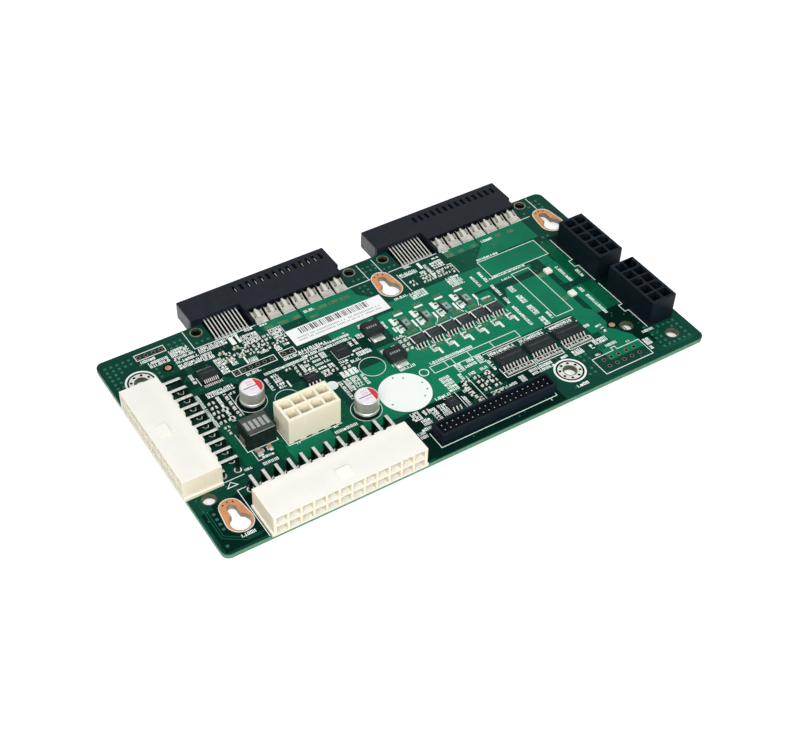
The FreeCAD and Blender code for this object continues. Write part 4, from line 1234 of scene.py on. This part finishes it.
class PowerPartsOperator(Operator):
    """Build the capacitor cans and finish the coil and the diodes"""
    bl_idname = "backplane.power_parts"
    bl_label = "Cans, coil and diodes"

    def execute(self, context):
        edge = sizes().package_edge
        dress(node_names("capacitor", "_base"), "black_nylon", edge)
        for name in ("rear", "front"):
            self.can(name)
        dress(["coil_core"], "ferrite", edge)
        dress(node_names("diode", "_body"), "black_epoxy", edge)
        dress(node_names("diode", "_terminals"), "bright_tin", edge / 2, 1)
        # The coil's terminals take the darker tin of painted shade.
        dress(["coil_terminals"], "dull_tin", edge / 2, 1)
        self.top_marks()
        return {"FINISHED"}

    def can(self, name):
        """Turned shell of a capacitor, with its lid, polarity mark, ticks, score and foot ring."""
        node = "capacitor_%s_can" % name
        (x0, x1), (y0, y1), (low, high) = span(node)
        x, y, radius = (x0 + x1) / 2, (y0 + y1) / 2, (x1 - x0) / 2
        groove, lid, top = radius - 0.22, radius - 0.5, high - 0.08
        body = Shapes()
        body.turned(x, y, [
            (0, low), (radius - 0.2, low), (radius, low + 0.2), (radius, low + 0.8), (groove, low + 1.0),
            (groove, low + 1.2), (radius, low + 1.4), (radius, high - 0.4), (radius - 0.1, high - 0.14),
            (radius - 0.28, high), (radius - 0.4, high - 0.02), (radius - 0.48, top), (0, top)], 64)
        can = body.piece(node.replace("_can", "_shell"), "can_aluminium", 30)
        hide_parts(node)
        looks = {"lid": "can_lid", "mark": "can_mark", "ticks": "pink_ink", "score": "score_ink",
                 "foot": "bright_tin"}
        parts = {kind: Shapes() for kind in looks}
        parts["lid"].disc(x, y, lid, *skin(top, 0.01), 64)
        parts["mark"].prism(circle(x, y, lid, 24, -60.0, 120.0), *skin(top, 0.03))
        for i in range(4):
            left = x - 0.9 + 0.55 * i
            for front in (y - 1.5, y + 0.8, y + 1.9):
                parts["ticks"].slab(left, front, left + 0.25, front + 0.6, *skin(top, 0.02))
        parts["score"].slab(x - 2.7, y - 0.16, x + 1.7, y + 0.16, *skin(top, 0.02))
        parts["foot"].ring(x, y, radius - 0.3, radius + 0.06, low + 0.02, low + 0.3, 64)
        for kind, finish in looks.items():
            parts[kind].piece("capacitor_%s_%s" % (name, kind), finish)

    def top_marks(self):
        """Paler ferrite slab painted on the coil's top as light, a grey bar painted along its front top edge
        as a highlight, and plain bars on the coil and the diodes.
        """
        (x0, x1), (y0, y1), (_, high) = span("coil_core")
        ink, face = Shapes(), Shapes()
        face.slab(x0 + 0.7, y0 + 0.12, x1 - 0.7, y1 - 0.12, *skin(high, 0.015))
        face.piece("coil_face", "ferrite_face")
        # Painted highlight along the coil's front top edge.
        ink.slab(x0 + 0.8, y0 + 0.1, x1 - 0.8, y0 + 0.34, *skin(high, 0.03))
        first, count = 1.1, 5
        rows = [("coil_core", 1.65, 1.1, 2.2, 5.8)]
        rows += [(node, 0.8, 0.4, 2.0, 2.9) for node in node_names("diode", "_body")]
        for node, step, wide, front, back in rows:
            (x0, _), (y0, _), (_, high) = span(node)
            for i in range(count):
                x = x0 + first + step * i
                ink.slab(x, y0 + front, x + wide, y0 + back, *skin(high, 0.03))
        ink.piece("part_marks", "grey_ink")


class PackagesOperator(Operator):
    """Finish the integrated circuits, the lamps and their marks"""
    bl_idname = "backplane.packages"
    bl_label = "Packages"

    def execute(self, context):
        edge = sizes().package_edge
        fets = [n for n in node_names("fet_") if n != "fet_leads"]
        bodies = fets + [n for n in node_names("driver_") if n != "driver_leads"]
        bodies += ["controller", "regulator", "monitor", "clock_chip"]
        dress(bodies, "black_epoxy", edge, 1)
        dress(fets, "worn_epoxy")
        dress(node_names("", "_leads"), "bright_tin")
        dress(["lamps"], "lamp_resin", edge)
        ink, stripes = Shapes(), Shapes()
        pitch = 0.6
        for node in bodies:
            (x0, x1), (y0, y1), (_, high) = span(node)
            layer, front = skin(high, 0.02), (y0 + y1) / 2
            ink.disc(x0 + 0.75, y0 + 0.75, 0.22, *layer, 12)
            for i in range(int((x1 - x0 - 1.6) / pitch)):
                x = x0 + 1.3 + pitch * i
                ink.slab(x, front, x + 0.3, front + 0.6, *layer)
            if node in fets:
                stripes.slab(x0 + 0.02, y0 + 0.1, x0 + 0.36, y1 - 0.1, *layer)
        ink.piece("package_marks", "faint_ink")
        stripes.piece("package_stripes", "board_print")
        return {"FINISHED"}


class ChipsOperator(Operator):
    """Add tinned ends to the chips and set the smallest ones in their fields"""
    bl_idname = "backplane.chips"
    bl_label = "Chips"

    def execute(self, context):
        self.ends, self.dark, self.tan = Shapes(), Shapes(), Shapes()
        dress(["chip_resistors", "chip_networks"], "resistor_glaze")
        dress(["chip_gate_parts"], "gate_body")
        dress(["chip_capacitors"], "chip_ceramic")
        for node in node_names("chip_"):
            finish = self.network if node == "chip_networks" else self.cap_ends
            for (x0, x1), (y0, y1), (_, high) in solids(node):
                finish(x0, y0, x1, y1, high)
        self.gate_parts()
        for single in ((27.1, 29.9, 0.75, 1.3, self.tan, 0.8), (29.2, 30.0, 1.0, 0.5, self.dark, 0.45),
                       (31.0, 30.2, 0.5, 1.1, self.tan, 0.6)):
            self.chip(*single)
        self.rows()
        self.fields()
        self.ends.piece("chip_ends", "solder")
        self.dark.piece("small_resistors", "resistor_glaze")
        self.tan.piece("small_capacitors", "gold_ceramic")
        return {"FINISHED"}

    def cap_ends(self, x0, y0, x1, y1, high):
        """Tinned ends wrapped round a chip, with a fillet of solder on its pads."""
        grow, share, foot = 0.03, 0.27, 0.35
        upright = y1 - y0 > x1 - x0
        near, far, left, right = (y0, y1, x0, x1) if upright else (x0, x1, y0, y1)
        reach = (far - near) * share
        for a, b, c, d in ((near - grow, near + reach, near - foot, near + reach),
                           (far - reach, far + grow, far - reach, far + foot)):
            self.ends.bar(upright, a, left - grow, b, right + grow, -0.01, high + grow)
            self.ends.bar(upright, c, left - 0.1, d, right + 0.1, -SINK, 0.1)

    def network(self, x0, y0, x1, y1, high):
        """Tinned bars of a small resistor array, with two dark fields between them."""
        half, grow = 0.1, 0.03
        for x in (x0, (x0 + x1) / 2, x1):
            self.ends.slab(x - half, y0 - grow, x + half, y1 + grow, -0.01, high + grow)
        for y in (y0, y1):
            self.ends.slab(x0 - 0.2, y - half, x1 + 0.2, y + half, -0.01, high + grow)

    def gate_parts(self):
        """Grounds, pale glazed parts and dark bars behind the transistors."""
        parts, grounds = Shapes(), Shapes()
        for k in range(GATES):
            x = 96.0 + GATE_STEP * k
            grounds.slab(x - 1.2, 52.4, x + 1.4, 58.6, *PAD)
            parts.slab(x - 1.0, 54.2, x + 1.0, 57.2, -0.01, 0.3)
            self.dark.slab(x - 2.05, 52.8, x - 1.35, 58.0, -0.01, 0.4)
            self.dark.slab(x - 0.4, 55.4, x + 0.2, 56.0, 0.2, 0.34)
        grounds.piece("gate_grounds", "gate_body")
        parts.piece("gate_drive_parts", "glazed_part")

    def chip(self, x, y, half_x, half_y, body, high):
        """Small chip of one body, with its tinned ends."""
        box = (x - half_x, y - half_y, x + half_x, y + half_y)
        body.slab(*box, -0.01, high)
        self.cap_ends(*box, high)

    def rows(self):
        """Regular rows of small chips: first place, numbers, steps, and whether they lie front to back."""
        rectangles = taken()
        rows = [
            (24.1, 46.7, 1, 5, 1.0, 2.18, False), (29.4, 48.5, 1, 4, 1.0, 2.5, True),
            (96.0, 14.4, 1, 5, 1.0, 2.05, True), (101.0, 16.6, 1, 4, 1.0, 2.0, False),
            (105.0, 16.6, 1, 4, 1.0, 2.0, False), (93.1, 53.7, GATES, 2, GATE_STEP, 4.1, True),
            (65.9, 48.4, 3, 1, 1.7, 1.0, True), (89.2, 45.2, 1, 3, 1.0, 2.2, True),
            (91.0, 45.2, 1, 3, 1.0, 2.2, True), (149.0, 19.6, 1, 1, 1.0, 1.0, True)]
        for x, y, across, along, step_x, step_y, upright in rows:
            half_x, half_y = (0.4, 0.8) if upright else (0.8, 0.4)
            for i in range(across):
                for j in range(along):
                    px, py = x + step_x * i, y + step_y * j
                    if clear(rectangles, px - half_x, py - half_y, px + half_x, py + half_y, 0.1):
                        self.chip(px, py, half_x, half_y, self.dark, 0.45)

    def fields(self):
        """Fields of small chips: their bounds and the share of places filled."""
        cell_x, cell_y, high = 1.9, 1.6, 0.4
        chance = random.Random(sizes().seed + 1)
        rectangles = taken()
        fields = [
            (36, 70.2, 42, 75.2, 1.0), (42.8, 68, 58.6, 74.8, 0.9), (22.8, 74.2, 34, 79.6, 0.25),
            (48.5, 50.5, 55.4, 57.2, 0.5), (57.2, 50.5, 60, 57.4, 0.7), (28.4, 46, 33, 57, 0.4),
            (66.5, 57.8, 76.5, 62.4, 0.3), (112, 68.4, 125, 73.2, 0.95), (107.2, 69.2, 110.4, 72.8, 0.9),
            (94.2, 13.2, 108.3, 23.6, 0.35), (22.8, 40.6, 24.4, 45, 0.8), (73.5, 13.2, 80, 20, 0.2)]
        for x0, y0, x1, y1, fill in fields:
            across, along = max(1, int((x1 - x0) / cell_x)), max(1, int((y1 - y0) / cell_y))
            for i in range(across):
                for j in range(along):
                    if chance.random() > fill:
                        continue
                    x = x0 + (i + 0.5) * (x1 - x0) / across + chance.uniform(-0.15, 0.15)
                    y = y0 + (j + 0.5) * (y1 - y0) / along + chance.uniform(-0.1, 0.1)
                    half_x, half_y = (0.3, 0.6) if chance.random() < 0.4 else (0.6, 0.3)
                    if clear(rectangles, x - half_x, y - half_y, x + half_x, y + half_y, 0.3):
                        self.chip(x, y, half_x, half_y, self.dark, high)


class LabelOperator(Operator):
    """Finish the paper label with plain bars"""
    bl_idname = "backplane.label"
    bl_label = "Label"

    def execute(self, context):
        dress(["label"], "label_paper")
        (x0, x1), (y0, y1), (_, high) = span("label")
        chance = random.Random(sizes().seed + 2)
        bars, rows = Shapes(), Shapes()
        ink = (high - 0.01, high + 0.012)
        x = x0 + 4.3
        while x < x1 - 5.8:
            wide = chance.choice((0.14, 0.14, 0.28, 0.42))
            bars.slab(x, y0 + 4.4, x + wide, y1 - 0.5, *ink)
            x += wide + chance.choice((0.16, 0.3, 0.44))
        bars.piece("label_bars", "label_ink")
        for front in (y0 + 1.4, y0 + 2.7):
            x = x0 + 2.0
            while x < x1 - 3.0:
                if chance.random() < 0.8:
                    rows.slab(x, front, x + 0.3, front + 0.7, *ink)
                x += 0.55
        rows.piece("label_rows", "grey_ink")
        return {"FINISHED"}


class UndersideOperator(Operator):
    """Add the solder joints, copper and vias of the underside"""
    bl_idname = "backplane.underside"
    bl_label = "Underside"

    def execute(self, context):
        radius = sizes().joint_radius / MM
        joints, pads = Shapes(), Shapes()
        profile = [(0, -1.5), (0.62, -1.5), (0.72, -0.9), (0.9, -0.45), (radius, -0.12), (radius, SINK),
                   (0, SINK)]
        for name in HEADERS:
            for x, y in tails(name + "_pins"):
                joints.turned(x, y, [(reach, z - THICK) for reach, z in profile], 16)
                pads.ring(x, y, radius - 0.05, radius + 0.25, *under(PAD), 24)
        joints.piece("solder_joints", "solder", 50)
        for x, y in SCREWS:
            pads.ring(x, y, 2.25, 4.0, *under(PAD))
        for x, y in PLAIN_HOLES:
            pads.ring(x, y, 2.1, 2.5, *under(PAD))
        for x, y in KEYHOLES:
            inside = key_outline(x, y, 0.1)
            pads.band(inside, cast(inside, (x, y), land_outline(x, y, 4.3, 3.5)), *under(PAD))
        pads.piece("underside_pads", "solder")
        self.copper_below()
        return {"FINISHED"}

    def copper_below(self):
        """Copper areas, two bundles of tracks and scattered vias."""
        areas = [[(22, 22), (88, 22), (88, 40), (60, 66), (22, 66)], (96, 14, 150, 62), (38, 70, 90, 78),
                 (112, 70, 160, 78)]
        lay_areas("underside_pours", "pour_mask", areas, under(POUR))
        tracks, vias = Shapes(), Shapes()
        width = sizes().track_width / MM
        count, step = 9, 0.6
        for i in range(count):
            x = 90.5 + step * i
            tracks.line([(x, 12 + 0.5 * i), (x, 60), (84 + step * i, 67)], width, *under(TRACK))
            tracks.line([(152 + step * i, 12), (152 + step * i, 66)], width, *under(TRACK))
        tracks.piece("underside_tracks", "track_mask")
        chance = random.Random(sizes().seed + 3)
        holes = [(x - 5, y - 5, x + 5, y + 10) for x, y in KEYHOLES]
        holes += squares(SCREWS + PLAIN_HOLES, 4.5)
        for name in HEADERS:
            holes += squares(tails(name + "_pins"), 1.6)
        tries = 420
        for _ in range(tries):
            x, y = chance.uniform(2, LENGTH - 2), chance.uniform(2, DEPTH - 8)
            if clear(holes, x, y, x, y):
                vias.ring(x, y, 0.14, 0.32, *under(PAD), 8)
        vias.piece("underside_vias", "mint_mask")


class StageOperator(Operator):
    """Set the floor, the soft light and the camera"""
    bl_idname = "backplane.stage"
    bl_label = "Stage"

    def execute(self, context):
        context.scene.view_settings.view_transform = "Standard"
        self.floor(context)
        self.light(context)
        self.camera(context)
        return {"FINISHED"}

    def seen(self, tree):
        """Value that is one for rays from the camera, mirrors and glass."""
        path = tree.nodes.new("ShaderNodeLightPath")
        value = path.outputs["Is Camera Ray"]
        for ray in ("Is Glossy Ray", "Is Transmission Ray"):
            value = reckon(tree, "MAXIMUM", {}, {0: value, 1: path.outputs[ray]})
        return value

    def floor(self, context):
        """Pale paper with a glow that only the eye and mirrors see."""
        mesh = bpy.data.meshes.new("floor")
        half, shine = 2.5, 0.55
        corners = [(x, y, 0.0) for x, y in box_outline(-half, -half, half, half)]
        mesh.from_pydata(corners, [], [(0, 1, 2, 3)])
        material = bpy.data.materials.new("floor_paper")
        material.use_nodes = True
        tree = material.node_tree
        glow = reckon(tree, "MULTIPLY", {1: shine}, {0: self.seen(tree)})
        wire(tree, tree.nodes["Principled BSDF"],
             {"Base Color": (0.86, 0.86, 0.86, 1.0), "Roughness": 0.9, "Specular IOR Level": 0.0,
              "Emission Color": (1.0, 1.0, 1.0, 1.0)},
             {"Emission Strength": glow})
        mesh.materials.append(material)
        floor = bpy.data.objects.new("floor", mesh)
        context.collection.objects.link(floor)

    def light(self, context):
        """Even sky and one soft box in front and above."""
        world = bpy.data.worlds.new("studio_sky")
        context.scene.world = world
        world.use_nodes = True
        tree = world.node_tree
        limits = {"To Min": studio().sky, "To Max": 1.0}
        level = add(tree, "ShaderNodeMapRange", limits, {"Value": self.seen(tree)}).outputs["Result"]
        wire(tree, tree.nodes["Background"], {"Color": (1.0, 1.0, 1.0, 1.0)}, {"Strength": level})
        lamp = bpy.data.lights.new("soft_box", "AREA")
        lamp.shape = "RECTANGLE"
        lamp.size, lamp.size_y = 0.9, 0.6
        lamp.energy = studio().lamp_power
        box = bpy.data.objects.new("soft_box", lamp)
        box.location = (-0.3, -0.66, 0.64)
        box.rotation_euler = (-box.location).to_track_quat("-Z", "Y").to_euler()
        context.collection.objects.link(box)

    def camera(self, context):
        """Camera of the studio settings."""
        lens = bpy.data.cameras.new("camera")
        lens.sensor_width = 36.0
        lens.lens = studio().lens
        lens.shift_x, lens.shift_y = 0.0813, 0.0357
        lens.clip_start = 0.01
        eye = bpy.data.objects.new("camera", lens)
        eye.location = CORNER + Vector(studio().eye)
        sight = CORNER + Vector(studio().aim) - eye.location
        eye.rotation_mode = "QUATERNION"
        eye.rotation_quaternion = sight.to_track_quat("-Z", "Y") @ Quaternion((0, 0, 1), studio().roll)
        context.collection.objects.link(eye)
        context.scene.camera = eye


OPERATORS = (MaskOperator, LandsOperator, PrintOperator, HeadersOperator, SuppliesOperator,
             PowerPartsOperator, PackagesOperator, ChipsOperator, LabelOperator, UndersideOperator,
             StageOperator)


class BackplanePanel(Panel):
    """Lists the steps that dress the board"""
    bl_idname = "VIEW3D_PT_backplane"
    bl_label = "Backplane Board"
    bl_space_type = "VIEW_3D"
    bl_region_type = "UI"
    bl_category = "Backplane"

    def draw(self, context):
        for group in (colours(), sizes(), studio()):
            column = self.layout.column()
            for name in group.__annotations__:
                column.prop(group, name)
        for operator in OPERATORS:
            self.layout.operator(operator.bl_idname)


GROUPS = {"backplane_colours": BackplaneColours, "backplane_sizes": BackplaneSizes,
          "backplane_studio": BackplaneStudio}


def register():
    for cls in (*GROUPS.values(), *OPERATORS, BackplanePanel):
        bpy.utils.register_class(cls)
    for name, group in GROUPS.items():
        setattr(bpy.types.Scene, name, PointerProperty(type=group))


def unregister():
    for name in GROUPS:
        delattr(bpy.types.Scene, name)
    for cls in (BackplanePanel, *reversed(OPERATORS), *GROUPS.values()):
        bpy.utils.unregister_class(cls)


def main():
    register()
    for operator in OPERATORS:
        getattr(bpy.ops.backplane, operator.bl_idname.split(".")[1])()


if __name__ == "__main__":
    main()
